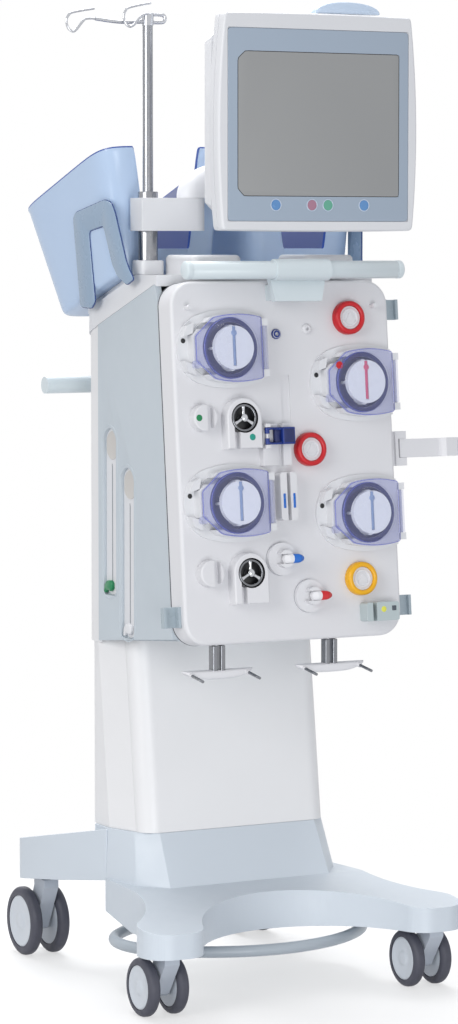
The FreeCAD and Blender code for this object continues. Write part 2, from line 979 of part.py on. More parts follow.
def build_brake_ring():
    """Foot ring under the base: an oval tube that rocks on a pin across the back."""
    ring = new_body("brake_ring")
    level = size.ring_height
    middle = size.ring_middle_y
    path = sketch_on(ring, "XY_Plane", level)
    oval_path(path, size.ring_half_wide, size.ring_half_deep, size.ring_side_radius, middle)
    section = sketch_on(ring, "YZ_Plane")
    back_y = middle + size.ring_half_deep
    circle(section, back_y, level, size.ring_tube / 2)
    sweep = feature(ring, "AdditivePipe", section)
    sweep.Spine = path
    settle(path, section, sweep)
    pivot = size.ring_pivot_z
    ears = sketch_on(ring, "YZ_Plane")
    outline(ears, [
        (back_y - 11, level),
        (back_y + 9, level),
        (back_y + 9, pivot + 4),
        (back_y + 5, pivot + 9),
        (back_y - 5, pivot + 9),
        (back_y - 9, pivot + 4),
    ])
    ear_out = size.ring_ear_x + size.ring_lug_thick / 2
    pad(ring, ears, 2 * ear_out, both=True)
    between = sketch_on(ring, "YZ_Plane")
    rectangle(between, back_y - 12, level + size.ring_tube / 2, back_y + 12, pivot + 12)
    cut(ring, between, 2 * (ear_out - size.ring_lug_thick), both=True)
    bore = sketch_on(ring, "YZ_Plane")
    circle(bore, back_y, pivot, size.ring_pin / 2 + size.running_gap)
    cut(ring, bore, 2 * ear_out + 10, both=True)
    keep(ring)
    hanger = new_body("brake_hanger")
    lug_start = ear_out + 0.6
    lugs = sketch_on(hanger, "YZ_Plane")
    outline(lugs, [
        (back_y - 9, pivot - 9),
        (back_y + 9, pivot - 9),
        (back_y + 16, leg_underside(back_y + 16) - size.seam),
        (back_y - 16, leg_underside(back_y - 16) - size.seam),
    ])
    pad(hanger, lugs, 2 * lug_start + 2 * size.ring_lug_thick, both=True)
    gap = sketch_on(hanger, "YZ_Plane")
    rectangle(gap, back_y - 30, pivot - 20, back_y + 30, pivot + 14)
    cut(hanger, gap, 2 * lug_start, both=True)
    pin = sketch_on(hanger, "YZ_Plane")
    circle(pin, back_y, pivot, size.ring_pin / 2)
    pad(hanger, pin, 2 * lug_start + 2, both=True)
    keep(hanger)


def leg_underside(y):
    """Height of the rear casting's sloping underside at a distance back."""
    front = size.base_split_y + size.seam - 1
    end_y = size.rear_stem_y + size.leg_end_radius + 1
    drop = (size.leg_root_bottom - size.leg_tip_bottom) / (end_y - front)
    return size.leg_root_bottom - (y - front) * drop


def build_front_panel():
    """Moulded front with rounded corners, hollow behind, pierced for the pump shafts."""
    body = new_body("front_panel")
    half = size.panel_half
    tall = size.panel_tall
    face = sketch_on(body, "XZ_Plane")
    rectangle(face, -half, 0, half, tall)
    pad(body, face, size.panel_deep, back=True)
    round_edges(body, along(Vector(0, 1, 0)), size.panel_corner)
    round_edges(body, in_plane("y", 0), size.panel_edge)
    hollow(body, facing(Vector(0, 1, 0)), size.panel_wall)
    groove = sketch_on(body, "XZ_Plane")
    channel_half = size.line_channel_wide / 2
    channel_low = size.line_channel_low
    rectangle(groove, size.line_channel_x - channel_half, channel_low,
              size.line_channel_x + channel_half, channel_low + size.line_channel_tall)
    cut(body, groove, size.panel_wall * 0.6)
    holes = sketch_on(body, "XZ_Plane")
    for _, x, up in pump_places():
        circle(holes, x, up, size.shaft / 2 + size.fit_gap)
    for _, x, up in dial_places():
        circle(holes, x, up, size.dial_shaft / 2 + size.fit_gap)
    for up in (size.upper_knob_v, size.lower_knob_v):
        circle(holes, size.knob_x, up, size.knob_shaft / 2 + size.fit_gap)
    cut(body, holes, size.panel_wall + 1)
    place_on_panel(body)
    keep(body)


def pump_places():
    return [
        (1, size.left_pump_x, size.pump_1_v),
        (2, size.right_pump_x, size.pump_2_v),
        (3, size.left_pump_x, size.pump_3_v),
        (4, size.right_pump_x, size.pump_4_v),
    ]


def dial_places():
    return [
        ("upper", size.dial_x, size.upper_dial_v),
        ("lower", size.dial_x, size.lower_dial_v),
    ]


def slab_underside(y):
    """Height of the sloping underside of the top cover at a distance back."""
    return size.slab_top - size.slab_thick - (y - size.slab_drop_y) * tangent(size.slab_slope)


def build_side_panels():
    """Coloured side mouldings with two sunk warmer channels, an arched window over each."""
    gap = size.panel_deep + size.panel_gap
    _, low_y, low_z = on_panel(0, 12, -gap)
    _, top_y, top_z = on_panel(0, size.panel_tall - 22, -gap)
    back = size.side_back_y
    for side, word in ((-1, "left"), (1, "right")):
        body = new_body(f"side_panel_{word}")
        lift = side * (size.panel_half - size.side_thick / 2)
        shape = sketch_on(body, "YZ_Plane", lift)
        outline(shape, [
            (low_y, low_z),
            (back, size.side_low_z),
            (back, slab_underside(back) - size.seam),
            (top_y + 8, slab_underside(top_y + 8) - size.seam),
            (top_y, top_z),
        ])
        pad(body, shape, size.side_thick, both=True)
        outside = side * size.panel_half
        sunk = sketch_on(body, "YZ_Plane", outside)
        through = sketch_on(body, "YZ_Plane", outside)
        for index in (0, 1):
            middle = size.warmer_y - index * size.warmer_step
            low = size.warmer_low_z - index * size.warmer_step
            high = size.warmer_high_z - index * (size.warmer_step - 4)
            half = size.channel_wide / 2
            window = high - size.window_high
            outline(sunk, [
                (middle - half, low),
                (middle + half, low),
                (middle + half, high - half * 1.4, half * 1.1),
                (middle, high, half * 1.1),
                (middle - half, high - half * 1.4),
            ])
            inner = half - 9
            outline(through, [
                (middle - inner, window),
                (middle + inner, window),
                (middle + inner, high - 9 - inner * 1.2, inner * 1.1),
                (middle, high - 9, inner * 1.1),
                (middle - inner, high - 9 - inner * 1.2),
            ])
        cut(body, sunk, 2 * size.channel_depth, both=True)
        cut(body, through, 2 * size.side_thick - 4, both=True)
        keep(body)


def build_rear_housing():
    body = new_body("rear_housing")
    half = size.rear_half
    front = size.side_back_y + size.seam
    plan = sketch_on(body, "XY_Plane", size.rear_low_z)
    rectangle(plan, -half, front, half, size.cabinet_back_y)
    top = slab_underside(front) - size.seam
    pad(body, plan, top - size.rear_low_z)
    slope = sketch_on(body, "YZ_Plane")
    end = size.cabinet_back_y + 1
    outline(slope, [
        (front - 1, slab_underside(front - 1) - size.seam),
        (end, slab_underside(end) - size.seam),
        (end, top + 5),
        (front - 1, top + 5),
    ])
    cut(body, slope, 2 * half + 10, both=True)
    round_edges(body, upright_at((half, size.cabinet_back_y)), size.cabinet_corner)
    inside = sketch_on(body, "XY_Plane", size.rear_low_z - 1)
    wall = size.shell_wall
    corner = size.cabinet_corner
    outline(inside, mirrored([
        (half - wall, front - 1),
        (half - wall, size.cabinet_back_y - corner, corner - wall),
        (half - corner, size.cabinet_back_y - wall),
    ]))
    cut(body, inside, slab_underside(size.cabinet_back_y) - size.rear_low_z - 6, back=True)
    keep(body)


def build_top_cover():
    body = new_body("top_cover")
    _, front_y, front_z = on_panel(0, size.panel_tall + 2, -(size.panel_deep + size.seam))
    _, under_y, _ = on_panel(0, size.panel_tall - 22, -(size.panel_deep + size.panel_gap))
    end = size.cabinet_back_y
    thick = size.slab_thick
    profile = sketch_on(body, "YZ_Plane")
    outline(profile, [
        (under_y + 8, slab_underside(under_y + 8)),
        (end, slab_underside(end)),
        (end, slab_underside(end) + thick),
        (size.slab_drop_y, size.slab_top),
        (front_y, size.slab_top),
        (front_y, front_z - 6),
    ])
    pad(body, profile, 2 * size.panel_half, both=True)
    round_edges(body, upright_at((size.panel_half, end)), size.cabinet_corner)
    keep(body)


def build_cabinet_floor():
    """Sheet that closes the cabinet below, from the front panel back to the column."""
    body = new_body("cabinet_floor")
    _, front_y, front_z = on_panel(0, 9, -(size.panel_deep + size.panel_gap))
    back = column_front_y(size.column_top) - 5
    slope = (front_z - size.side_low_z) / (size.side_back_y - front_y)
    profile = sketch_on(body, "YZ_Plane")
    thick = size.shell_wall
    back_z = front_z - (back - front_y) * slope
    outline(profile, [
        (front_y, front_z),
        (back, back_z),
        (back, back_z + thick),
        (front_y, front_z + thick),
    ])
    pad(body, profile, 2 * (size.panel_half - size.side_thick - size.seam), both=True)
    keep(body)


def build_front_handle():
    tube = rod("front_handle", size.handle_tube / 2, 2 * size.handle_half, as_size(0),
               size.handle_y, size.handle_z, "x")
    tube.Label = "front_handle"
    caps = []
    for side in (-1, 1):
        cap = rod(f"cap_{side + 1}", size.handle_tube / 2 + 0.5, size.handle_cap,
                  side * (size.handle_half + size.handle_cap / 2), size.handle_y, size.handle_z, "x")
        caps.append(cap)
    bracket = new_body("handle_plate")
    plate = sketch_on(bracket, "XZ_Plane", size.bracket_stand)
    low = size.bracket_low_v
    high = size.panel_tall + 6
    shift = 12
    outline(plate, [
        (shift - size.bracket_wide_low / 2, low),
        (shift + size.bracket_wide_low / 2, low),
        (shift + size.bracket_wide_top / 2, high),
        (shift - size.bracket_wide_top / 2, high),
    ])
    pad(bracket, plate, size.bracket_thick)
    feet = sketch_on(bracket, "XZ_Plane")
    for side in (-1, 1):
        middle = shift + side * (size.bracket_wide_low / 2 - 12)
        rectangle(feet, middle - 8, low + 4, middle + 8, low + 30)
    pad(bracket, feet, size.bracket_stand + 1)
    place_on_panel(bracket)
    seat = rod("handle_seat", size.handle_tube / 2 + 3.5, size.bracket_wide_top - 6, as_size(shift),
               size.handle_y, size.handle_z, "x")
    hollowed = doc.addObject("Part::Cut", "handle_clamp")
    grip = rod("handle_room", size.handle_tube / 2, size.bracket_wide_top + 20, as_size(shift),
               size.handle_y, size.handle_z, "x")
    whole = doc.addObject("Part::MultiFuse", "handle_whole")
    whole.Shapes = [bracket, seat]
    hollowed.Base = whole
    hollowed.Tool = grip
    hollowed.Label = "handle_bracket"
    keep(group("handle_front", tube, *caps), hollowed)


def build_rear_handle():
    body = new_body("push_bar")
    bar = sketch_on(body, "YZ_Plane")
    circle(bar, size.push_bar_y, size.push_bar_z, size.push_bar_tube / 2)
    pad(body, bar, 2 * size.push_bar_half, both=True)
    arms = sketch_on(body, "XY_Plane", size.push_bar_z)
    for side in (-1, 1):
        near = side * size.push_bracket_x
        edge = size.push_bracket_wide / 2
        rectangle(arms, near - edge, size.cabinet_back_y + size.seam, near + edge, size.push_bar_y)
    pad(body, arms, size.push_bar_tube * 0.8, both=True)
    feet = sketch_on(body, "XZ_Plane", -(size.cabinet_back_y + size.seam))
    for side in (-1, 1):
        near = side * size.push_bracket_x
        edge = size.push_bracket_wide * 0.8
        tall = size.push_bracket_tall / 2
        rectangle(feet, near - edge, size.push_bar_z - tall, near + edge, size.push_bar_z + tall)
    pad(body, feet, 6, back=True)
    keep(body)


def ribbon(spots, width):
    """Corners of a band of even width along a line of spots, mitred where it bends."""
    points = [Vector(as_size(x).value, as_size(y).value, 0) for x, y in spots]
    last = len(points) - 1
    one_side = []
    other_side = []
    for index, (x, y) in enumerate(spots):
        arriving = points[max(index, 1)] - points[max(index, 1) - 1]
        leaving = points[min(index, last - 1) + 1] - points[min(index, last - 1)]
        middle = arriving.normalize() + leaving.normalize()
        scale = 2 / middle.Length**2
        across = Vector(-middle.y * scale, middle.x * scale, 0)
        one_side.append((x + width * (across.x / 2), y + width * (across.y / 2)))
        other_side.append((x - width * (across.x / 2), y - width * (across.y / 2)))
    return one_side + other_side[::-1]


def build_pole():
    """Outer tube in a socket on the cabinet, an inner rod that slides in it, and four wire hooks."""
    socket = new_body("pole_socket")
    plan = sketch_on(socket, "XY_Plane", size.slab_top)
    half = size.pole_socket_wide / 2
    rectangle(plan, size.pole_x - half, size.pole_y - half, size.pole_x + half, size.pole_y + half)
    pad(socket, plan, size.pole_socket_top - size.slab_top)
    round_edges(socket, along(Vector(0, 0, 1)), half * 0.45)
    seat = sketch_on(socket, "XY_Plane", size.pole_socket_top)
    circle(seat, size.pole_x, size.pole_y, size.pole_outer / 2)
    cut(socket, seat, size.pole_socket_top - size.slab_top - 4)
    outer = new_body("pole_outer")
    ring = sketch_on(outer, "XY_Plane", size.slab_top + 4)
    circle(ring, size.pole_x, size.pole_y, size.pole_outer / 2)
    circle(ring, size.pole_x, size.pole_y, size.pole_bore / 2)
    pad(outer, ring, size.pole_outer_top - size.slab_top - 4)
    inner = new_body("pole_rod")
    shank = sketch_on(inner, "XY_Plane", size.pole_inner_low)
    circle(shank, size.pole_x, size.pole_y, size.pole_inner / 2)
    pad(inner, shank, size.pole_top - size.pole_inner_low)
    hooks = new_body("pole_hooks")
    head = sketch_on(hooks, "XY_Plane", size.pole_top - size.hook_cap_tall)
    circle(head, size.pole_x, size.pole_y, size.pole_inner / 2 + 1.5)
    pad(hooks, head, size.hook_cap_tall + 5)
    high = size.pole_top + 1.5
    low = high - size.hook_bend
    left = size.hook_reach
    middle = high - size.hook_bend / 2
    bar = [
        (-4, high),
        (28, high),
        (33.5, middle),
        (28, low),
        (-10, low),
        (-55, low - 1),
        (12 - left, low + 3),
    ]
    far = [
        (20 - left, low + 3),
        (-left, low + 3),
        (-left - 8, low - 1),
        (-left - 21, low - 16),
        (-left - 28, low - 20),
        (-left - 36, low - 15),
        (-left - 39.7, low - 3),
        (-left - 36, low + 7),
        (-left - 26, low + 13),
        (-left + 12, low + 20),
    ]
    near = [
        (0, high),
        (-7, high),
        (-16, high - 4),
        (-29, high - 18),
        (-37, high - 22),
        (-45, high - 18),
        (-49, high - 7),
        (-46, high + 4),
        (-36, high + 11),
        (2, high + 19),
    ]
    wires = (
        (bar, size.hook_tube, 0),
        (far, size.hook_wire, 0),
        (near, size.hook_wire, size.pole_inner / 2 - 1),
    )
    for spots, thick, out in wires:
        band = sketch_on(hooks, "XZ_Plane", -size.pole_y + out)
        outline(band, ribbon([(size.pole_x + x, z) for x, z in spots], thick))
        pad(hooks, band, thick, both=True)
    bore = sketch_on(hooks, "XY_Plane", size.pole_top - size.hook_cap_tall)
    circle(bore, size.pole_x, size.pole_y, size.pole_inner / 2 + size.seam)
    cut(hooks, bore, size.hook_cap_tall, back=True)
    keep(group("pole_tube", socket, outer), inner, hooks)


def build_monitor():
    """Screen housing on a domed arm that swivels on a bracket beside the pole and tilts."""
    mount = new_body("monitor_bracket")
    plan = sketch_on(mount, "XY_Plane", size.mount_low)
    radius = size.arm_pivot / 2
    clamp = size.pole_socket_wide / 2
    outline(plan, [
        (size.pole_x - clamp, size.pole_y - clamp),
        (size.arm_x, size.pole_y - radius, radius),
        (size.arm_x + radius, size.pole_y, radius),
        (size.arm_x, size.pole_y + radius),
        (size.pole_x - clamp, size.pole_y + clamp),
    ])
    pad(mount, plan, size.mount_tall)
    bore = sketch_on(mount, "XY_Plane", size.mount_low + size.mount_tall)
    circle(bore, size.pole_x, size.pole_y, size.pole_outer / 2)
    cut(mount, bore, size.mount_tall + 1)
    pivot = sketch_on(mount, "XY_Plane", size.mount_low + size.mount_tall)
    circle(pivot, size.arm_x, size.pole_y, size.arm_pin / 2)
    pad(mount, pivot, 30)
    base = size.mount_low + size.mount_tall + size.fit_gap
    arm = new_body("monitor_arm")
    reach = size.arm_x + size.arm_reach_x
    back = size.monitor_y + size.bezel_deep + size.shell_deep + size.fit_gap
    sections = []
    for share, lift in ((0, 1), (0.72, 0.86), (1, 0.5)):
        section = sketch_on(arm, "XY_Plane", base + size.dome_rise * share)
        grow = radius * lift
        outline(section, [
            (size.arm_x - grow, size.pole_y - grow),
            (reach + size.arm_reach_x * (share + 0.2), back + 34),
            (reach + size.arm_reach_x * (share + 0.2), back + 34 + radius * 1.4 * lift),
            (size.arm_x + grow * 0.4, size.pole_y + grow),
            (size.arm_x - grow, size.pole_y + grow),
        ])
        sections.append(section)
    loft(arm, sections)
    hole = sketch_on(arm, "XY_Plane", base)
    circle(hole, size.arm_x, size.pole_y, size.arm_pin / 2 + size.running_gap)
    cut(arm, hole, 31, back=True)
    fork = sketch_on(arm, "YZ_Plane", size.monitor_x)
    ear_y = back + size.tilt_ear
    outline(fork, [
        (ear_y - 12, size.tilt_z - 16),
        (ear_y + 22, base + 4),
        (ear_y + 40, base + 4),
        (ear_y + 40, size.tilt_z + 6),
        (ear_y + 12, size.tilt_z + 16),
        (ear_y - 12, size.tilt_z + 16),
    ])
    pad(arm, fork, 2 * (size.monitor_x - reach), both=True)
    pin = sketch_on(arm, "YZ_Plane", size.monitor_x)
    circle(pin, ear_y, size.tilt_z, size.tilt_pin / 2)
    pad(arm, pin, 2 * (size.monitor_x - reach) + 50, both=True)
    low = size.monitor_low
    high = low + size.monitor_tall
    half = size.monitor_wide / 2
    bezel = new_body("monitor_bezel")
    face = sketch_on(bezel, "XZ_Plane", -size.monitor_y)
    outline(face, [
        (size.monitor_x - half + 8, low),
        (size.monitor_x + half - 8, low, 1400),
        (size.monitor_x + half, low + size.monitor_tall * 0.55, 900),
        (size.monitor_x + half - 12, high),
        (size.monitor_x - half + 12, high, 900),
        (size.monitor_x - half, low + size.monitor_tall * 0.55, 1400),
    ])
    pad(bezel, face, size.bezel_deep, back=True)
    round_edges(bezel, upright_corner(size.monitor_low, high, along(Vector(0, 1, 0))), size.monitor_corner)
    recess = sketch_on(bezel, "XZ_Plane", -size.monitor_y)
    glass_low = low + size.glass_low
    glass_half = size.glass_wide / 2
    rectangle(recess, size.monitor_x - glass_half, glass_low,
              size.monitor_x + glass_half, glass_low + size.glass_tall)
    cut(bezel, recess, size.glass_thick)
    glass = new_body("monitor_glass")
    pane = sketch_on(glass, "XZ_Plane", -size.monitor_y)
    ease = size.seam
    rectangle(pane, size.monitor_x - glass_half + ease, glass_low + ease,
              size.monitor_x + glass_half - ease, glass_low + size.glass_tall - ease)
    pad(glass, pane, size.glass_thick, back=True)
    shell = new_body("monitor_shell")
    sections = []
    for depth, inset in ((0, 4), (0.6, 10), (1, size.shell_inset)):
        level = -(size.monitor_y + size.bezel_deep + size.shell_deep * depth)
        section = sketch_on(shell, "XZ_Plane", level)
        edge = half - inset
        corner = size.monitor_corner + 6
        outline(section, [
            (size.monitor_x - edge + corner, low + inset),
            (size.monitor_x + edge - corner, low + inset),
            (size.monitor_x + edge, low + inset + corner),
            (size.monitor_x + edge, high - inset - corner),
            (size.monitor_x + edge - corner, high - inset),
            (size.monitor_x - edge + corner, high - inset),
            (size.monitor_x - edge, high - inset - corner),
            (size.monitor_x - edge, low + inset + corner),
        ])
        sections.append(section)
    loft(shell, sections)
    ears = sketch_on(shell, "YZ_Plane", size.monitor_x)
    rear = back - size.fit_gap
    outline(ears, [
        (rear - 4, size.tilt_z - 22),
        (ear_y + 4, size.tilt_z - 14),
        (ear_y + 14, size.tilt_z),
        (ear_y + 4, size.tilt_z + 14),
        (rear - 4, size.tilt_z + 22),
    ])
    ear_half = size.monitor_x - reach
    pad(shell, ears, 2 * ear_half + 48, both=True)
    between = sketch_on(shell, "YZ_Plane", size.monitor_x)
    rectangle(between, rear, size.tilt_z - 60, rear + 80, size.tilt_z + 60)
    cut(shell, between, 2 * ear_half + 2, both=True)
    bore = sketch_on(shell, "YZ_Plane", size.monitor_x)
    circle(bore, ear_y, size.tilt_z, size.tilt_pin / 2 + size.running_gap)
    cut(shell, bore, 2 * ear_half + 60, both=True)
    lamp = new_body("status_lamp")
    dome = sketch_on(lamp, "XZ_Plane", -(size.monitor_y + size.bezel_deep * 0.3))
    centre = size.monitor_x + size.lamp_x
    lamp_half = size.lamp_wide / 2
    foot = high + size.seam
    outline(dome, [
        (centre - lamp_half, foot),
        (centre + lamp_half, foot),
        (centre + lamp_half * 0.55, foot + size.lamp_rise, 300),
        (centre - lamp_half * 0.55, foot + size.lamp_rise),
    ])
    pad(lamp, dome, size.lamp_deep * 0.4, back=True)
    keep(mount, arm, bezel, glass, shell, lamp)


def upright_corner(low, high, test):
    """Keeps only the edges near the lowest and highest corners of a face."""
    low, high = as_size(low).value, as_size(high).value
    def both(edge):
        level = edge.CenterOfMass.z
        return test(edge) and (abs(level - low) < 1 or abs(level - high) < 1)
    return both


def build_trays():
    """Two open fluid trays side by side, narrower below, each with a scooped front wall."""
    for side, word in ((-1, "left"), (1, "right")):
        body = new_body(f"tray_{word}")
        lip = size.tray_lip
        sections = []
        levels = (
            (as_size(0), size.tray_low_half, as_size(0), size.tray_low_deep),
            (size.tray_tall, size.tray_top_half, -lip, size.tray_top_deep - lip),
        )
        chamfer = size.tray_chamfer
        for level, half, front, back in levels:
            section = sketch_on(body, "XY_Plane", level)
            outline(section, mirrored([
                (half - chamfer, front),
                (half, front + chamfer),
                (half, back - chamfer * 0.6),
                (half - chamfer * 0.6, back),
            ]))
            sections.append(section)
        loft(body, sections)
        hollow(body, face_at("z", size.tray_tall), size.tray_wall)
        scoop = sketch_on(body, "XZ_Plane")
        top = size.tray_tall
        outline(scoop, [
            (-size.scoop_half, top + 1),
            (-size.scoop_half + 18, top - size.scoop_depth),
            (size.scoop_half - 18, top - size.scoop_depth),
            (size.scoop_half, top + 1),
        ])
        cut(body, scoop, lip * 2 + 20, both=True)
        place(body, side * size.tray_centre_x, size.tray_front_y, size.tray_low_z, Vector(1, 0, 0),
              -size.tray_tilt)
        keep(body)


def build_scales():
    heads = []
    for side, word in ((-1, "left"), (1, "right")):
        body = new_body(f"scale_head_{word}")
        plan = sketch_on(body, "XY_Plane", size.slab_top)
        half = size.scale_wide / 2
        deep = size.scale_deep / 2
        middle = side * size.scale_x
        front = size.scale_y - deep
        rectangle(plan, middle - half, front, middle + half, size.slab_drop_y)
        pad(body, plan, size.scale_tall)
        round_edges(body, along(Vector(0, 0, 1)), 14)
        round_edges(body, in_plane("z", size.slab_top + size.scale_tall), 8)
        heads.append(body)
        platform = new_body(f"scale_platform_{word}")
        near = size.tray_front_y + 18
        far = size.cabinet_back_y - 10
        side_view = sketch_on(platform, "YZ_Plane", side * size.tray_centre_x)
        outline(side_view, [
            (near, tray_underside(near) - size.seam),
            (near, cover_top(near) + size.seam),
            (far, cover_top(far) + size.seam),
            (far, tray_underside(far) - size.seam),
        ])
        pad(platform, side_view, size.platform_wide, both=True)
        heads.append(platform)
    keep(group("scale_heads", *heads))


def tray_underside(y):
    """Height of a tray's floor from below, at a distance back."""
    return size.tray_low_z - (y - size.tray_front_y) * tangent(size.tray_tilt)


def cover_top(y):
    """Height of the sloping rear of the top cover at a distance back."""
    return size.slab_top - (y - size.slab_drop_y) * tangent(size.slab_slope)


def build_pumps():
    """Four peristaltic pumps: bed with a tube race, rotor with two rollers, hinged dome cover."""
    beds = []
    for number, x, up in pump_places():
        beds.extend(build_pump_bed(number, x, up))
        build_pump_rotor(number, x, up)
        build_pump_cover(number, x, up)
    keep(group("pump_beds", *beds))


def build_pump_bed(number, x, up):
    plate = new_body(f"pump_plate_{number}")
    right, left = size.plate_right, size.plate_left
    half = size.plate_half - 6
    shoulder = left - size.plate_sweep
    sweep = (size.plate_sweep * size.plate_sweep + half * half) / (2 * size.plate_sweep)
    shape = sketch_on(plate, "XZ_Plane")
    outline(shape, [
        (right, -half),
        (right, half, size.plate_bow),
        (-shoulder, half, sweep),
        (-shoulder, -half, size.plate_bow),
    ])
    pad(plate, shape, size.plate_thick)
    horns = sketch_on(plate, "XZ_Plane")
    for side in (-1, 1):
        outline(horns, [
            (-left + 5, side * 20),
            (-left + 23, side * 26),
            (-left + 27, side * 44),
            (-left + 12, side * 38),
        ])
    pad(plate, horns, size.bed_rise)
    lugs = sketch_on(plate, "YZ_Plane", size.hinge_x)
    out = -size.hinge_out
    boss = size.hinge_boss / 2
    for side in (-1, 1):
        low = side * size.hinge_half - size.hinge_lug / 2
        rectangle(lugs, out - boss, low, -size.plate_thick + 1, low + size.hinge_lug)
    pad(plate, lugs, size.hinge_boss, both=True)
    bores = sketch_on(plate, "XY_Plane")
    circle(bores, size.hinge_x, out, size.hinge_pin / 2)
    cut(plate, bores, 2 * size.hinge_half + 2 * size.hinge_lug, both=True)
    pierce(plate, size.shaft / 2 + size.fit_gap)
    place_on_panel(plate, x, up)
    bed = new_body(f"pump_race_{number}")
    face = size.plate_thick
    bed_half = size.bed_half
    slant = bed_half * 0.6
    shape = sketch_on(bed, "XZ_Plane", face)
    outline(shape, [
        (size.bed_right, -bed_half + 4),
        (size.bed_right, bed_half - 4, size.plate_bow),
        (-size.bed_left + slant, bed_half - 4),
        (-size.bed_left, bed_half - slant),
        (-size.bed_left, -bed_half + slant),
        (-size.bed_left + slant, -bed_half + 4, size.plate_bow),
    ])
    pad(bed, shape, size.bed_rise)
    race = size.race_radius
    top = face + size.bed_rise
    floor = size.bed_rise - size.bed_floor
    hollowed = sketch_on(bed, "XZ_Plane", top)
    circle(hollowed, 0, 0, race)
    cut(bed, hollowed, floor)
    ways = sketch_on(bed, "XZ_Plane", top)
    inner = race - size.tube_way
    for side in (-1, 1):
        outline(ways, [
            (-size.bed_left - 2, side * inner),
            (-8, side * inner),
            (-8, side * race),
            (-size.bed_left - 2, side * race),
        ])
    cut(bed, ways, floor)
    pierce(bed, size.shaft / 2 + size.fit_gap)
    place_on_panel(bed, x, up)
    pin = doc.addObject("Part::Cylinder", f"hinge_pin_{number}")
    bind(pin, "Radius", size.hinge_pin / 2)
    bind(pin, "Height", 2 * size.hinge_half + size.hinge_lug)
    low = up - size.hinge_half - size.hinge_lug / 2
    place_on_panel(pin, x + size.hinge_x, low, size.hinge_out)
    return plate, bed, pin


def pierce(body, radius):
    """Round hole along the local Y axis, right through a piece that sits on the panel."""
    hole = sketch_on(body, "XZ_Plane")
    circle(hole, 0, 0, radius)
    cut(body, hole, 200, both=True)


def build_pump_rotor(number, x, up):
    rotor = new_body(f"pump_wheel_{number}")
    floor = size.rotor_floor
    cap_low = size.rotor_cap_out - size.rotor_cap_thick
    orbit = size.roller_orbit
    hub = sketch_on(rotor, "XZ_Plane", floor)
    circle(hub, 0, 0, size.rotor_hub)
    pad(rotor, hub, cap_low - floor)
    arm = sketch_on(rotor, "XZ_Plane", floor)
    half = size.rotor_arm_wide / 2
    reach = orbit + size.roller_pin / 2 + 2
    outline(arm, [
        (-half, -orbit),
        (-half * 0.5, -reach),
        (half * 0.5, -reach),
        (half, -orbit),
        (half, orbit),
        (half * 0.5, reach),
        (-half * 0.5, reach),
        (-half, orbit),
    ])
    pad(rotor, arm, size.rotor_arm_thick)
    cap = sketch_on(rotor, "XZ_Plane", cap_low)
    circle(cap, 0, 0, size.rotor_radius)
    pad(rotor, cap, size.rotor_cap_thick)
    pins = sketch_on(rotor, "XZ_Plane", floor)
    for side in (-1, 1):
        circle(pins, 0, side * orbit, size.roller_pin / 2)
    pad(rotor, pins, cap_low - floor + 1)
    guides = sketch_on(rotor, "XZ_Plane", floor + 4)
    for side in (-1, 1):
        circle(guides, side * (orbit + 2), 0, size.guide_pin / 2)
    pad(rotor, guides, cap_low - floor - 3)
    shaft = sketch_on(rotor, "XZ_Plane", floor + 1)
    circle(shaft, 0, 0, size.shaft / 2)
    pad(rotor, shaft, size.shaft_long, back=True)
    handle = sketch_on(rotor, "XZ_Plane", size.rotor_cap_out)
    rectangle(handle, -3, -size.rotor_radius + 6, 3, size.rotor_radius + 1)
    cut(rotor, handle, 3)
    place_on_panel(rotor, x, up)
    rollers = []
    start = floor + size.rotor_arm_thick + 0.5
    for side in (-1, 1):
        roller = new_body(f"roller_{number}_{side + 1}")
        ring = sketch_on(roller, "XZ_Plane", start)
        circle(ring, 0, 0, size.roller / 2)
        circle(ring, 0, 0, size.roller_pin / 2 + size.running_gap)
        pad(roller, ring, cap_low - start - 0.5)
        place_on_panel(roller, x, up + side * orbit)
        rollers.append(roller)
    keep(group(f"pump_rotor_{number}", rotor, *rollers))


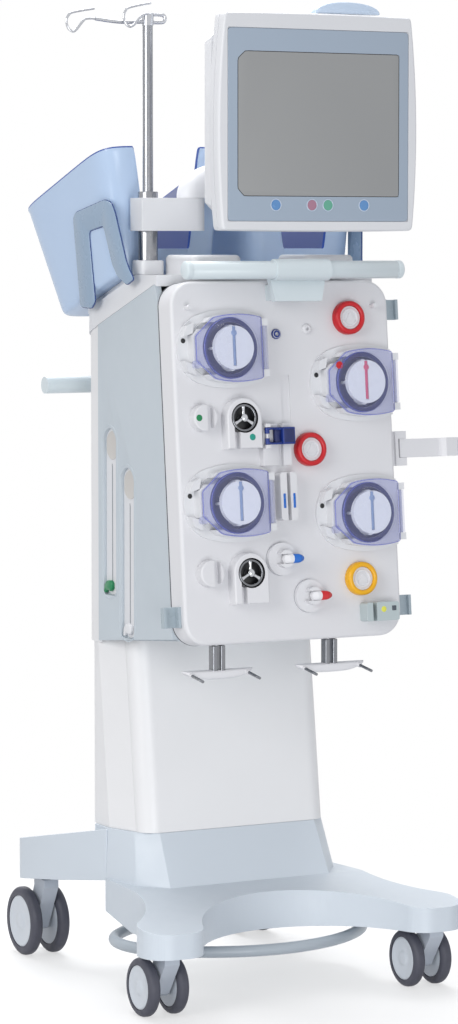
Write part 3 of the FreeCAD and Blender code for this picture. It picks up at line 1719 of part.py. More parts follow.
def build_pump_cover(number, x, up):
    cover = new_body(f"pump_cover_{number}")
    low = size.plate_thick + size.bed_rise + size.fit_gap
    half = size.cover_half
    left = size.cover_left
    slant = half * 0.62
    wall = size.cover_wall
    rim = sketch_on(cover, "XZ_Plane", low)
    outline(rim, [
        (size.cover_right, -half + 4),
        (size.cover_right, half - 4, size.plate_bow),
        (-left + slant, half - 4),
        (-left, half - slant),
        (-left, -half + slant),
        (-left + slant, -half + 4, size.plate_bow),
    ])
    pad(cover, rim, size.cover_rim)
    dome = sketch_on(cover, "XY_Plane")
    top = -size.cover_dome_out
    base = -(low + size.cover_rim - 1)
    outer = size.cover_dome
    outline(dome, [
        (0, base),
        (outer + 5, base),
        (outer + 3, base - 5),
        (outer - 3, top + 3),
        (outer - 7, top),
        (0, top),
    ])
    turn(cover, dome, "V_Axis")
    inside = sketch_on(cover, "XY_Plane")
    outline(inside, [
        (0, -low + 1),
        (outer + 2, -low + 1),
        (outer + 3 - wall, base - 5),
        (outer - 3 - wall, top + wall + 1),
        (outer - 7 - wall, top + wall),
        (0, top + wall),
    ])
    turn(cover, inside, "V_Axis", remove=True)
    knuckle = sketch_on(cover, "XY_Plane", 0)
    outline(knuckle, [
        (size.hinge_x - 5, -size.hinge_out + 4),
        (size.hinge_x + 5, -size.hinge_out + 4),
        (size.hinge_x + 5, -size.hinge_out - 5),
        (size.cover_right - 4, -low - size.cover_rim),
        (size.cover_right - 4, -low),
        (size.hinge_x - 5, -low),
    ])
    long = 2 * size.hinge_half - size.hinge_lug - 2 * size.seam
    pad(cover, knuckle, long, both=True)
    bore = sketch_on(cover, "XY_Plane", 0)
    circle(bore, size.hinge_x, -size.hinge_out, size.hinge_pin / 2 + size.running_gap)
    cut(cover, bore, long + 10, both=True)
    latch = sketch_on(cover, "XZ_Plane", low)
    rectangle(latch, -left - 6, -34, -left + 8, -20)
    pad(cover, latch, size.cover_rim + 4)
    place_on_panel(cover, x, up)
    keep(cover)


def build_motors():
    """Gear motors behind the front panel, each bored for its pump shaft."""
    motors = []
    for number, x, up in pump_places():
        motor = new_body(f"motor_{number}")
        face = sketch_on(motor, "XZ_Plane", -size.panel_wall)
        half = size.motor_wide / 2
        rectangle(face, -half, -half, half, half)
        pad(motor, face, size.motor_long, back=True)
        bore = sketch_on(motor, "XZ_Plane", -size.panel_wall)
        circle(bore, 0, 0, size.shaft / 2 + size.running_gap)
        cut(motor, bore, size.shaft_long)
        place_on_panel(motor, x, up)
        motors.append(motor)
    keep(group("pump_motors", *motors))


def build_dials():
    """Spoked hand dials in arch housings, and the round tube guides beside them."""
    housings = []
    for word, x, up in dial_places():
        housing = new_body(f"dial_housing_{word}")
        shape = sketch_on(housing, "XZ_Plane")
        half = size.dial_housing_half
        rise = size.dial_housing_up
        outline(shape, [
            (-half, -size.dial_housing_down),
            (half, -size.dial_housing_down),
            (half, 0, half * 1.02),
            (0, rise, half * 1.02),
            (-half, 0),
        ])
        pad(housing, shape, size.dial_housing_out)
        round_edges(housing, in_plane("y", -size.dial_housing_out), 3)
        well = sketch_on(housing, "XZ_Plane", size.dial_housing_out)
        circle(well, 0, 0, size.dial_radius + 1.5)
        cut(housing, well, size.dial_housing_out - 8)
        slot = sketch_on(housing, "XZ_Plane", size.dial_housing_out)
        rectangle(slot, -half * 0.62, -size.dial_housing_down - 1, -half * 0.3, -10)
        cut(housing, slot, size.dial_housing_out - 10)
        pierce(housing, size.dial_shaft / 2 + size.running_gap)
        place_on_panel(housing, x, up)
        housings.append(housing)
        dial = new_body(f"spoke_dial_{word}")
        hub = sketch_on(dial, "XZ_Plane", 10)
        circle(hub, 0, 0, 7)
        pad(dial, hub, size.dial_housing_out - 8)
        spoke = sketch_on(dial, "XZ_Plane", size.dial_housing_out - 8)
        rectangle(spoke, -2.5, 4, 2.5, size.dial_radius - 2)
        arm = pad(dial, spoke, 5)
        spokes = dial.newObject("PartDesign::PolarPattern", f"spokes_{word}")
        spokes.Originals = [arm]
        spokes.Axis = (origin_axis(dial), [""])
        spokes.Angle = 360
        spokes.Occurrences = 3
        dial.Tip = spokes
        settle(spokes)
        ring = sketch_on(dial, "XZ_Plane", size.dial_housing_out - 9)
        circle(ring, 0, 0, size.dial_radius)
        circle(ring, 0, 0, size.dial_radius - size.dial_ring)
        pad(dial, ring, 8)
        shaft = sketch_on(dial, "XZ_Plane", 11)
        circle(shaft, 0, 0, size.dial_shaft / 2)
        pad(dial, shaft, size.dial_shaft_long, back=True)
        place_on_panel(dial, x, up)
        keep(dial)
    for word, up in (("upper", size.upper_knob_v), ("lower", size.lower_knob_v)):
        knob = new_body(f"tube_guide_{word}")
        face = sketch_on(knob, "XZ_Plane", 0.4)
        circle(face, 0, 0, size.knob_radius)
        pad(knob, face, size.knob_out)
        round_edges(knob, in_plane("y", -(size.knob_out + 0.4)), 3)
        way = sketch_on(knob, "XZ_Plane", size.knob_out + 0.4)
        rectangle(way, 2, -size.knob_radius - 1, 2 + size.knob_slot, size.knob_radius + 1)
        cut(knob, way, size.knob_out - 6)
        shaft = sketch_on(knob, "XZ_Plane", 1)
        circle(shaft, 0, 0, size.knob_shaft / 2)
        pad(knob, shaft, size.knob_shaft + 12, back=True)
        place_on_panel(knob, size.knob_x, up)
        keep(knob)
    return housings


def origin_axis(body):
    return next(item for item in body.Origin.OriginFeatures if item.Role == "Y_Axis")


def build_clamps():
    """Two line clamps: a round base on the panel and a lever that swings on a pin in its turret."""
    bases = []
    clamps = (
        ("blue", size.blue_clamp_x, size.blue_clamp_v),
        ("red", size.red_clamp_x, size.red_clamp_v),
    )
    for word, x, up in clamps:
        base = new_body(f"clamp_base_{word}")
        disc = sketch_on(base, "XZ_Plane")
        circle(disc, 0, 0, size.clamp_radius)
        pad(base, disc, size.clamp_base_out)
        turret = sketch_on(base, "XZ_Plane", size.clamp_base_out - 1)
        circle(turret, 0, 0, size.clamp_turret_radius)
        pad(base, turret, size.clamp_turret_out - size.clamp_base_out + 1)
        slot = sketch_on(base, "XZ_Plane", size.clamp_turret_out)
        gap = size.lever_wide / 2 + size.fit_gap
        reach = size.clamp_radius + 2
        rectangle(slot, -size.clamp_turret_radius - 2, -gap, reach, gap)
        cut(base, slot, size.clamp_turret_out - size.clamp_base_out)
        pin = sketch_on(base, "XY_Plane")
        circle(pin, 0, -size.clamp_turret_out + 8, size.clamp_pin / 2)
        pad(base, pin, 2 * size.clamp_turret_radius - 8, both=True)
        place_on_panel(base, x, up)
        bases.append(base)
        lever = new_body(f"clamp_lever_{word}")
        side_view = sketch_on(lever, "XY_Plane")
        level = -size.clamp_turret_out + 8
        long = size.lever_long
        outline(side_view, [
            (-4, level + 4.5),
            (6, level + 4.5),
            (long, level - 8),
            (long + 2, level - 13),
            (long - 4, level - 17),
            (4, level - 13),
            (-4, level - 4.5),
        ])
        pad(lever, side_view, size.lever_wide, both=True)
        bore = sketch_on(lever, "XY_Plane")
        circle(bore, 0, level, size.clamp_pin / 2 + size.running_gap)
        cut(lever, bore, size.lever_wide + 10, both=True)
        place_on_panel(lever, x, up)
        keep(lever)
    return bases


def build_line_sensors():
    """Blocks that hold a tube: the seat under the hinged lid, the slotted sensor and the leak detector."""
    seat = new_body("lid_seat")
    shape = sketch_on(seat, "XZ_Plane")
    half = size.lid_wide / 2
    low = -size.lid_tall / 2 - size.lid_block_tall
    rectangle(shape, -half, low, half, size.lid_tall / 2)
    pad(seat, shape, size.lid_seat_out)
    way = sketch_on(seat, "XZ_Plane", size.lid_seat_out)
    rectangle(way, 2, low - 1, 12, size.lid_tall / 2 + 1)
    cut(seat, way, size.lid_seat_out - 5)
    ears = sketch_on(seat, "YZ_Plane", -half + 5)
    out = -size.lid_seat_out
    for side in (-1, 1):
        foot = side * (size.lid_tall / 2 - 3) - 3
        rectangle(ears, out - 12, foot, out + 1, foot + 6)
    pad(seat, ears, 9, both=True)
    bore = sketch_on(seat, "XY_Plane")
    circle(bore, -half + 5, out - 7, size.lid_pin / 2)
    pad(seat, bore, size.lid_tall - 1, both=True)
    place_on_panel(seat, size.lid_x, size.lid_v)
    lid = new_body("detector_lid")
    side_view = sketch_on(lid, "XY_Plane")
    pivot = out - 7
    outline(side_view, [
        (-half + 1, pivot + 4),
        (-half + 9, pivot + 4),
        (-half + 10, out - 0.6),
        (half - 2, out - 0.6),
        (half + 2, out - 5),
        (half + 2, out - 13),
        (half - 6, out - 15),
        (-half + 1, pivot - 5),
    ])
    inner = size.lid_tall - 12 - 2 * size.seam
    pad(lid, side_view, inner, both=True)
    hole = sketch_on(lid, "XY_Plane")
    circle(hole, -half + 5, pivot, size.lid_pin / 2 + size.running_gap)
    cut(lid, hole, inner + 10, both=True)
    place_on_panel(lid, size.lid_x, size.lid_v)
    keep(lid)
    sensor = new_body("slot_sensor")
    shape = sketch_on(sensor, "XZ_Plane")
    half = size.sensor_wide / 2
    tall = size.sensor_tall / 2
    rectangle(shape, -half, -tall, half, tall)
    pad(sensor, shape, size.sensor_out)
    round_edges(sensor, along(Vector(0, 1, 0)), 6)
    slot = sketch_on(sensor, "XZ_Plane", size.sensor_out)
    rectangle(slot, -size.sensor_slot / 2, -tall - 1, size.sensor_slot / 2, tall + 1)
    cut(sensor, slot, size.sensor_out - 5)
    place_on_panel(sensor, size.sensor_x, size.sensor_v)
    detector = new_body("leak_block")
    shape = sketch_on(detector, "XZ_Plane")
    half = size.detector_wide / 2
    tall = size.detector_tall / 2
    rectangle(shape, -half, -tall, half, tall)
    pad(detector, shape, size.detector_out)
    round_edges(detector, along(Vector(0, 1, 0)), 4)
    slot = sketch_on(detector, "XZ_Plane", size.detector_out)
    rectangle(slot, -half + 12, -tall - 1, -half + 12 + size.detector_slot, tall + 1)
    cut(detector, slot, size.detector_out - 7)
    place_on_panel(detector, size.detector_x, size.detector_v)
    keep(group("line_sensors", seat, sensor, detector))


def build_ports():
    """Collared pressure ports, line posts and sockets."""
    places = (
        ("upper", size.upper_port_x, size.upper_port_v),
        ("middle", size.middle_port_x, size.middle_port_v),
        ("lower", size.lower_port_x, size.lower_port_v),
    )
    faces = []
    rings = []
    inner = size.port_face_radius
    for word, x, up in places:
        ring = new_body(f"port_ring_{word}")
        profile = sketch_on(ring, "XY_Plane")
        outline(profile, [
            (inner, 0),
            (size.port_radius, 0),
            (size.port_radius - 1, -size.port_out + 3),
            (size.port_radius - 4, -size.port_out),
            (inner + 2, -size.port_out),
            (inner, -size.port_out + 3),
        ])
        turn(ring, profile, "V_Axis")
        place_on_panel(ring, x, up)
        rings.append(ring)
        face = new_body(f"port_face_{word}")
        disc = sketch_on(face, "XZ_Plane")
        circle(disc, 0, 0, inner - size.seam)
        pad(face, disc, size.port_out - 5)
        mark = sketch_on(face, "XZ_Plane", size.port_out - 5)
        outline(mark, [(-9, -6), (9, -6), (0, 10)])
        pad(face, mark, 2)
        place_on_panel(face, x, up)
        faces.append(face)
    keep(group("port_rings", *rings))
    fittings = faces
    for x in (size.left_post_x, size.right_post_x):
        post = new_body(f"line_post_{len(fittings)}")
        profile = sketch_on(post, "XY_Plane")
        radius = size.post_radius
        outline(profile, [
            (0, 0),
            (radius - 1.5, 0),
            (radius - 1.5, -size.post_out + 5),
            (radius, -size.post_out + 4),
            (radius - 1, -size.post_out),
            (0, -size.post_out),
        ])
        turn(post, profile, "V_Axis")
        place_on_panel(post, x, size.post_v)
        fittings.append(post)
    for x, up in ((size.socket_x, size.socket_v), (size.second_socket_x, size.second_socket_v)):
        nut = new_body(f"socket_{len(fittings)}")
        profile = sketch_on(nut, "XY_Plane")
        radius = size.socket_radius
        outline(profile, [
            (3, 0),
            (radius, 0),
            (radius, -3),
            (radius - 2.5, -5),
            (3, -5),
        ])
        turn(nut, profile, "V_Axis")
        place_on_panel(nut, x, up)
        fittings.append(nut)
    keep(group("line_fittings", *fittings))


def build_clips():
    """C-shaped tube clips on the edges of the panel."""
    clips = []
    spots = ((1, size.upper_clip_v), (1, size.lower_clip_v), (-1, size.lower_clip_v))
    for number, (side, up) in enumerate(spots):
        clip = new_body(f"edge_clip_{number}")
        shape = sketch_on(clip, "XY_Plane")
        out = size.clip_out
        outline(shape, [
            (side * 0, 12),
            (side * 5, 12),
            (side * 5, 24),
            (side * (out - 5), 24),
            (side * (out - 5), 16),
            (side * out, 16),
            (side * out, 29),
            (side * 0, 29),
        ])
        pad(clip, shape, size.clip_tall, both=True)
        place_on_panel(clip, side * size.panel_half, up)
        clips.append(clip)
    return clips


def build_filter_holder():
    """Holder for the filter: a plate on the panel edge, and an arm with a jaw that swings on a pin."""
    plate = new_body("holder_plate")
    shape = sketch_on(plate, "XY_Plane")
    outline(shape, [
        (0, 14),
        (8, 14),
        (8, 8),
        (30, 8),
        (30, 20),
        (14, 20),
        (14, 40),
        (0, 40),
    ])
    pad(plate, shape, size.holder_tall, both=True)
    gap = sketch_on(plate, "XY_Plane")
    rectangle(gap, 22 - size.holder_arm_thick / 2, 0, 40, 30)
    cut(plate, gap, size.holder_arm_tall + 2 * size.seam, both=True)
    pin = sketch_on(plate, "XY_Plane")
    circle(pin, 23, 14, size.holder_pin / 2)
    pad(plate, pin, size.holder_tall - 4, both=True)
    place_on_panel(plate, size.panel_half, size.holder_v)
    arm = new_body("holder_arm")
    shape = sketch_on(arm, "XY_Plane")
    thick = size.holder_arm_thick / 2
    long = 23 + size.holder_arm
    jaw = size.holder_jaw
    outline(shape, [
        (17, 14 - thick + 2),
        (long - 2, 14 - thick),
        (long, 2),
        (long + 6, -6),
        (long + jaw - 6, -6),
        (long + jaw, 0),
        (long + jaw, 8),
        (long + jaw - 7, 8),
        (long + jaw - 9, 2),
        (long + 8, 2),
        (long + 6, 14 + thick),
        (17, 14 + thick - 2),
    ])
    pad(arm, shape, size.holder_arm_tall, both=True)
    bore = sketch_on(arm, "XY_Plane")
    circle(bore, 23, 14, size.holder_pin / 2 + size.running_gap)
    cut(arm, bore, size.holder_arm_tall + 10, both=True)
    place_on_panel(arm, size.panel_half, size.holder_v)
    keep(arm)
    return plate


def build_bag_hooks():
    """Bag hooks below the cabinet: a post and a beam at each side, with a pair of steel pins."""
    posts = []
    pins = []
    for side, x in ((-1, size.left_hook_x), (1, size.right_hook_x)):
        beam = new_body(f"hook_beam_{side + 1}")
        low = size.hook_post_low
        deep = size.hook_beam_deep / 2
        half = size.hook_beam_half
        shape = sketch_on(beam, "XZ_Plane", -size.hook_post_y)
        outline(shape, [
            (x - half, low),
            (x - half * 0.6, low - size.hook_beam_tall),
            (x + half * 0.6, low - size.hook_beam_tall),
            (x + half, low),
        ])
        pad(beam, shape, 2 * deep, both=True)
        post = sketch_on(beam, "XY_Plane", low - 1)
        edge = size.hook_post_half
        rectangle(post, x - edge, size.hook_post_y - deep * 0.8, x + edge, size.hook_post_y + deep * 0.8)
        pad(beam, post, size.panel_foot_z - 3 - low)
        posts.append(beam)
        for end in (-1, 1):
            pin = doc.addObject("Part::Cylinder", f"bag_pin_{side + 1}_{end + 1}")
            bind(pin, "Radius", size.hook_pin / 2)
            bind(pin, "Height", size.hook_pin_long)
            turn_up = size.hook_pin_tilt + 90
            place(pin, x + end * (half - 14), size.hook_post_y - deep, low - size.hook_beam_tall * 0.4,
                  Vector(1, 0, 0), turn_up)
            pins.append(pin)
    keep(group("bag_hooks", *posts, *pins))


def check_and_export():
    """Writes each finished piece to its own file, once every object has come out sound."""
    doc.recompute()
    for item in doc.Objects:
        if "Invalid" in item.State or "Error" in item.State:
            raise RuntimeError(f"{item.Label} failed: {item.State}")
    for piece in pieces:
        if piece.Shape.isNull() or not piece.Shape.isValid() or not piece.Shape.Solids:
            raise RuntimeError(f"{piece.Label} has no sound solid")
    os.makedirs("parts", exist_ok=True)
    for piece in pieces:
        piece.Shape.exportStep(f"parts/{piece.Label}.step")
        box = piece.Shape.BoundBox
        print(f"{piece.Label}: {len(piece.Shape.Solids)} solids,"
              f" {box.XLength:.0f} x {box.YLength:.0f} x {box.ZLength:.0f}")
    print(f"{len(pieces)} parts")


def main():
    fill_sheet()
    build_base_front()
    build_base_rear()
    build_castors()
    build_brake_ring()
    build_column()
    build_spine()
    build_front_panel()
    build_side_panels()
    build_rear_housing()
    build_top_cover()
    build_cabinet_floor()
    build_front_handle()
    build_rear_handle()
    build_pole()
    build_monitor()
    build_trays()
    build_scales()
    build_pumps()
    build_motors()
    keep(group("line_mounts", *build_dials(), *build_clamps()))
    build_line_sensors()
    build_ports()
    keep(group("edge_fittings", build_filter_holder(), *build_clips()))
    build_bag_hooks()
    check_and_export()


main()
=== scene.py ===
# Dialysis machine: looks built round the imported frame. Metres, front towards -Y.
import json
import math

import bmesh
import bpy
import numpy as np
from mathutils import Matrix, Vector

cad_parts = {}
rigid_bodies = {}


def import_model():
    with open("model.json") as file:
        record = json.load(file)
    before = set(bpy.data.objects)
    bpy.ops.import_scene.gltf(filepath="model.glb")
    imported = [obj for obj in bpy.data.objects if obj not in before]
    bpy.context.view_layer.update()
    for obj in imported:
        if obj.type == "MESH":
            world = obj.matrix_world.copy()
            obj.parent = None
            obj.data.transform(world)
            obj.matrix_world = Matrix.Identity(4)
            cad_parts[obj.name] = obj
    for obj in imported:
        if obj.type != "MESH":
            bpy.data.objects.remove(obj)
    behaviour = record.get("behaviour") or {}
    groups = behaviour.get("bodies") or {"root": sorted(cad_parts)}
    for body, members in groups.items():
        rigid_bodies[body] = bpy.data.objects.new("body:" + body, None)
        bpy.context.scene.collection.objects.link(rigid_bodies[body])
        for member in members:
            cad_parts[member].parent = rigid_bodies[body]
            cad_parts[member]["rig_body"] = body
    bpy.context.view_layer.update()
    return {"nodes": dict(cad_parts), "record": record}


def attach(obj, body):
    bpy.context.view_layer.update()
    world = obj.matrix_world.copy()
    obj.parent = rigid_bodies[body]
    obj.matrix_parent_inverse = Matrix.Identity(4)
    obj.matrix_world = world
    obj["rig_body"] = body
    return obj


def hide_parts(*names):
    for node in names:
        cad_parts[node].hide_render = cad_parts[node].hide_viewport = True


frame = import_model()
nodes = frame["nodes"]
slotOf = {entry["node"]: entry["material_slot"] for entry in frame["record"]["subparts"]}
print("frame loaded:", len(nodes), "nodes")


# Linear colour of a six-digit web colour, made darker or lighter by a factor.
def fromHex(text, factor=1.0):
    parts = np.array([int(text[i:i + 2], 16) / 255 for i in (0, 2, 4)])
    linear = np.where(parts <= 0.04045, parts / 12.92, ((parts + 0.055) / 1.055) ** 2.4)
    return (*np.minimum(linear * factor, 1.0).tolist(), 1.0)


def newFinish(name):
    mat = bpy.data.materials.new(name)
    mat.use_nodes = True
    return mat, mat.node_tree.nodes, mat.node_tree.links, mat.node_tree.nodes["Principled BSDF"]


def setSockets(node, values):
    for socket, value in values.items():
        node.inputs[socket].default_value = value
    return node


def noiseOn(tree, links, scale, detail=2.0, roughness=0.5):
    coord = tree.new("ShaderNodeTexCoord")
    noise = setSockets(tree.new("ShaderNodeTexNoise"), {"Scale": scale, "Detail": detail, "Roughness": roughness})
    links.new(coord.outputs["Object"], noise.inputs["Vector"])
    return noise.outputs["Fac"]


# The middle of a noise's range, stretched between two values.
def spread(tree, links, source, low, high):
    ranged = setSockets(tree.new("ShaderNodeMapRange"),
                        {"From Min": 0.3, "From Max": 0.7, "To Min": low, "To Max": high})
    links.new(source, ranged.inputs["Value"])
    return ranged.outputs["Result"]


def twoTones(tree, links, factor, dark, light):
    mix = tree.new("ShaderNodeMix")
    mix.data_type = "RGBA"
    setSockets(mix, {6: dark, 7: light})
    links.new(factor, mix.inputs[0])
    return mix.outputs[2]


# A finish from three noises: a cloud between two tones, an uneven gloss and a grain that lifts the surface.
# cloud and gloss hold a noise's scale, detail and roughness; grain its scale and detail, then strength and distance.
def layered(name, colour, tones, cloud, gloss, rough, grain, fixed):
    mat, tree, links, shader = newFinish(name)
    dark, light = (fromHex(colour, tone) for tone in tones)
    links.new(twoTones(tree, links, noiseOn(tree, links, *cloud), dark, light), shader.inputs["Base Color"])
    links.new(spread(tree, links, noiseOn(tree, links, *gloss), *rough), shader.inputs["Roughness"])
    bump = setSockets(tree.new("ShaderNodeBump"), {"Strength": grain[2], "Distance": grain[3]})
    links.new(noiseOn(tree, links, *grain[:2]), bump.inputs["Height"])
    links.new(bump.outputs["Normal"], shader.inputs["Normal"])
    setSockets(shader, fixed)
    return mat


# Moulded plastic: faint cloudy tone, uneven gloss and a fine pimpled grain.
def mouldedPlastic(name, colour, rough=0.42, grain=0.12, grainScale=900.0, tone=0.04, coat=0.0):
    return layered(name, colour, (1 - tone, 1 + tone * 0.6), (6.0, 3.0), (38.0, 4.0), (rough - 0.06, rough + 0.06),
                   (grainScale, 1.0, grain, 0.0002), {"Coat Weight": coat, "Coat Roughness": 0.12})


# Metal with a faint cloud in its colour and smudges in its gloss.
def polishedMetal(name, colour, rough=0.16, brushed=0.0):
    return layered(name, colour, (0.93, 1.0), (22.0, 5.0, 0.6), (60.0, 6.0, 0.6), (rough - 0.05, rough + 0.08),
                   (1400.0, 2.0, 0.05 + brushed, 0.0001), {"Metallic": 1.0})


# Tinted clear plastic with a cloudy tone and faint flow marks.
def tintedClear(name, colour, alpha, rough=0.12):
    return layered(name, colour, (0.93, 1.0), (9.0, 3.0), (30.0, 3.0), (rough - 0.04, rough + 0.06),
                   (14.0, 2.0, 0.05, 0.0006), {"Alpha": alpha})


# Dark rubber, dusty in patches, with a fine matt grain.
def tyreRubber(name, colour):
    return layered(name, colour, (1.0, 1.5), (45.0, 6.0, 0.65), (80.0, 3.0), (0.5, 0.68),
                   (700.0, 2.0, 0.25, 0.0003), {})


# Colour, roughness and grain; the screen's also have a grain scale, a tone and a coat.
plastics = {
    "whiteShell": ("DDDEE1", 0.42, 0.1),
    "panelWhite": ("DBDBDE", 0.42, 0.08),
    "ivoryColumn": ("E4E4E5", 0.42, 0.08),
    "blueGreyShell": ("BDC6CD", 0.42, 0.1),
    "castingPaint": ("C8D0D8", 0.42, 0.03, 900.0, 0.02),
    "paleTube": ("D0DADE", 0.34, 0.1),
    # The brake ring's grey is the pale tube coating darkened: painted shade.
    "brakeRingShadedGrey": ("A9B2BA", 0.36, 0.08),
    "castorGrey": ("C6CCD3", 0.35, 0.08),
    "hoodGrey": ("B2B9C3", 0.35, 0.08),
    "rotorWhite": ("E3E7EF", 0.3, 0.06),
    "pumpBody": ("DDDEE1", 0.34, 0.08),
    "navyRace": ("262C60", 0.35, 0.06),
    "collarRed": ("C2101C", 0.34, 0.06),
    "collarYellow": ("E9AC0C", 0.34, 0.06),
    "lidBlue": ("0B2C7C", 0.3, 0.05),
    "lidNavy": ("0A1C56", 0.3, 0.05),
    "leverBlue": ("1264BE", 0.28, 0.05),
    "leverRed": ("C0141E", 0.28, 0.05),
    "dotGreen": ("0F7F4C", 0.34, 0.05),
    "dotTeal": ("149180", 0.34, 0.05),
    "dotYellow": ("DDDC55", 0.34, 0.05),
    "blackPlastic": ("1B1C20", 0.35, 0.06),
    # seamGrey: on the panel's dark bead it is painted shade of the gap between flank and side panel; the detector
    # latch uses it too.
    "seamGrey": ("4A515A", 0.45, 0.06),
    "clipGrey": ("A3B0B8", 0.3, 0.05),
    "blockGrey": ("B4C0C2", 0.34, 0.06),
    "screenFrame": ("9FADBD", 0.2, 0.03, 600.0, 0.02, 0.25),
    "screenDisplay": ("979898", 0.4, 0.02, 600.0, 0.02),
    "keyBlue": ("5F8FC4", 0.25, 0.03),
    "keyRose": ("A87A8E", 0.25, 0.03),
    "keyGreen": ("62A890", 0.25, 0.03),
    "keyRim": ("BECBDB", 0.25, 0.03),
    "crankBlue": ("8199C0", 0.3, 0.05),
    "crankRed": ("CF4A6C", 0.3, 0.05),
    # railGrey paints the shade of the side channels' rail groove; the thin ring round each clamp uses it too.
    "railGrey": ("8E9399", 0.4, 0.05),
    # The warm grey of the side channels' sunk window is painted shade inside the pocket.
    "windowShade": ("C9C6C2", 0.42, 0.05),
    "clipGreen": ("137C4D", 0.3, 0.05),
}
# Colour, roughness and how brushed.
metals = {
    "chrome": ("C2C4C9", 0.14),
    # The pole's metal is darker than the chrome: a painted dark reflection along its tubes.
    "poleSteel": ("97999E", 0.2, 0.05),
    # The dial ring's metal is darker than the chrome of its spokes: a painted dark reflection.
    "dialRing": ("7B7D82", 0.12),
    "dullSteel": ("85878C", 0.3, 0.1),
}
# Colour, opacity and roughness.
clears = {
    "trayBlue": ("C0D6F2", 0.9, 0.2),
    # The darker violet-blue of the trays' inner walls is painted shade.
    "trayInsidePaintedShade": ("6F7BA6", 0.92, 0.2),
    "trayEdge": ("3F5CA8", 0.95, 0.2),
    "trayBand": ("93A9C0", 0.96, 0.25),
    # The dark blue line round each tray's band is painted shade at the band's raised edge.
    "trayInk": ("26407E", 0.95, 0.2),
    "coverClear": ("C4C9F2", 0.09, 0.07),
    "coverEdge": ("A6ADE8", 0.18, 0.1),
    "coverLine": ("6A72C4", 0.62, 0.1),
    "lampLens": ("CFE0F4", 0.9, 0.1),
}
finishes = {"tyre": tyreRubber("tyre", "3B3C46")}
for make, looks in ((mouldedPlastic, plastics), (polishedMetal, metals), (tintedClear, clears)):
    finishes.update({name: make(name, *look) for name, look in looks.items()})
print("finishes made:", len(finishes))


# Adds a piece to the scene with its finishes, tied to its body.
def settle(name, mesh, finish, body, slotName, crease=35.0):
    for look in [finish] if isinstance(finish, str) else finish:
        mesh.materials.append(finishes[look])
    mesh.shade_smooth()
    mesh.set_sharp_from_angle(angle=math.radians(crease))
    piece = bpy.data.objects.new(name, mesh)
    bpy.context.scene.collection.objects.link(piece)
    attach(piece, body)
    return piece


# The node's own surface with its triangles joined, its sharp edges softened and its curves shaded smooth.
def weldedCopy(name, finish, width, angle, segments):
    source = nodes[name]
    mesh = source.data.copy()
    mesh.name = f"{name}_skin"
    build = bmesh.new()
    build.from_mesh(mesh)
    bmesh.ops.remove_doubles(build, verts=build.verts, dist=0.00001)
    bmesh.ops.dissolve_limit(build, angle_limit=math.radians(0.5), verts=build.verts, edges=build.edges)
    build.to_mesh(mesh)
    build.free()
    mesh.materials.clear()
    piece = settle(f"{name}_skin", mesh, finish, source["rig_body"], slotOf[name], angle)
    soften = piece.modifiers.new("softEdges", "BEVEL")
    soften.width = width
    soften.segments = segments
    soften.limit_method = "ANGLE"
    soften.angle_limit = math.radians(angle)
    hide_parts(name)
    return piece


# Faces whose middles lie between two corners of a box get another finish.
def tint(piece, finish, low, high):
    mesh = piece.data
    mesh.materials.append(finishes[finish])
    middles = np.empty(len(mesh.polygons) * 3)
    mesh.polygons.foreach_get("center", middles)
    middles = middles.reshape(-1, 3)
    paint = np.empty(len(mesh.polygons), np.int32)
    mesh.polygons.foreach_get("material_index", paint)
    paint[np.all((middles > low) & (middles < high), axis=1)] = len(mesh.materials) - 1
    mesh.polygons.foreach_set("material_index", paint)


# Even angles round a full turn.
def fullTurn(count):
    return np.linspace(0, 2 * np.pi, count, endpoint=False)


# Coordinates of any shapes that fit together, as one array of points.
def points(x, y, z):
    return np.stack(np.broadcast_arrays(x, y, z), axis=-1)


# A grid of points as a closed skin: rows run along the shape and columns round it.
# ends: cap closes the first and last row, ring joins them, pole leaves them, where both are single points.
def skin(name, grid, finish, body, slotName, ends="cap", bands=None, **look):
    rows, columns = grid.shape[:2]
    index = np.arange(rows * columns).reshape(rows, columns)
    if ends == "ring":
        index = np.vstack([index, index[:1]])
    beside = np.roll(index, -1, axis=1)
    quads = np.stack([index[:-1], beside[:-1], beside[1:], index[1:]], axis=-1).reshape(-1, 4)
    faces = quads.tolist()
    paint = np.repeat(np.zeros(len(index) - 1, int) if bands is None else np.asarray(bands), columns)
    if ends == "cap":
        faces += [index[0, ::-1].tolist(), index[-1].tolist()]
        paint = np.append(paint, [paint[0], paint[-1]])
    mesh = bpy.data.meshes.new(name)
    mesh.from_pydata(grid.reshape(-1, 3).tolist(), [], faces)
    mesh.polygons.foreach_set("material_index", paint.astype(np.int32))
    build = bmesh.new()
    build.from_mesh(mesh)
    bmesh.ops.remove_doubles(build, verts=build.verts, dist=0.000002)
    bmesh.ops.recalc_face_normals(build, faces=build.faces)
    build.to_mesh(mesh)
    build.free()
    return settle(name, mesh, finish, body, slotName, **look)


# A profile of (radius, height) pairs turned about an axis: centre + height * axis + radius * (cos, sin).
def turned(profile, centre, axis, first, count=72):
    radius, height = np.array(profile, float).T
    second = np.cross(axis, first)
    angle = fullTurn(count)[:, None]
    circle = np.cos(angle) * first + np.sin(angle) * second
    return np.asarray(centre) + height[:, None, None] * axis + radius[:, None, None] * circle[None]


# A round bar along a flat path: the circle's two directions are the path's plane normal and their cross product.
def barAlong(path, radius, normal, count=20):
    heading = np.gradient(path, axis=0)
    heading /= np.linalg.norm(heading, axis=1)[:, None]
    side = np.cross(heading, normal)
    angle = fullTurn(count)[None, :, None]
    return path[:, None] + radius * np.cos(angle) * side[:, None] + radius * np.sin(angle) * normal


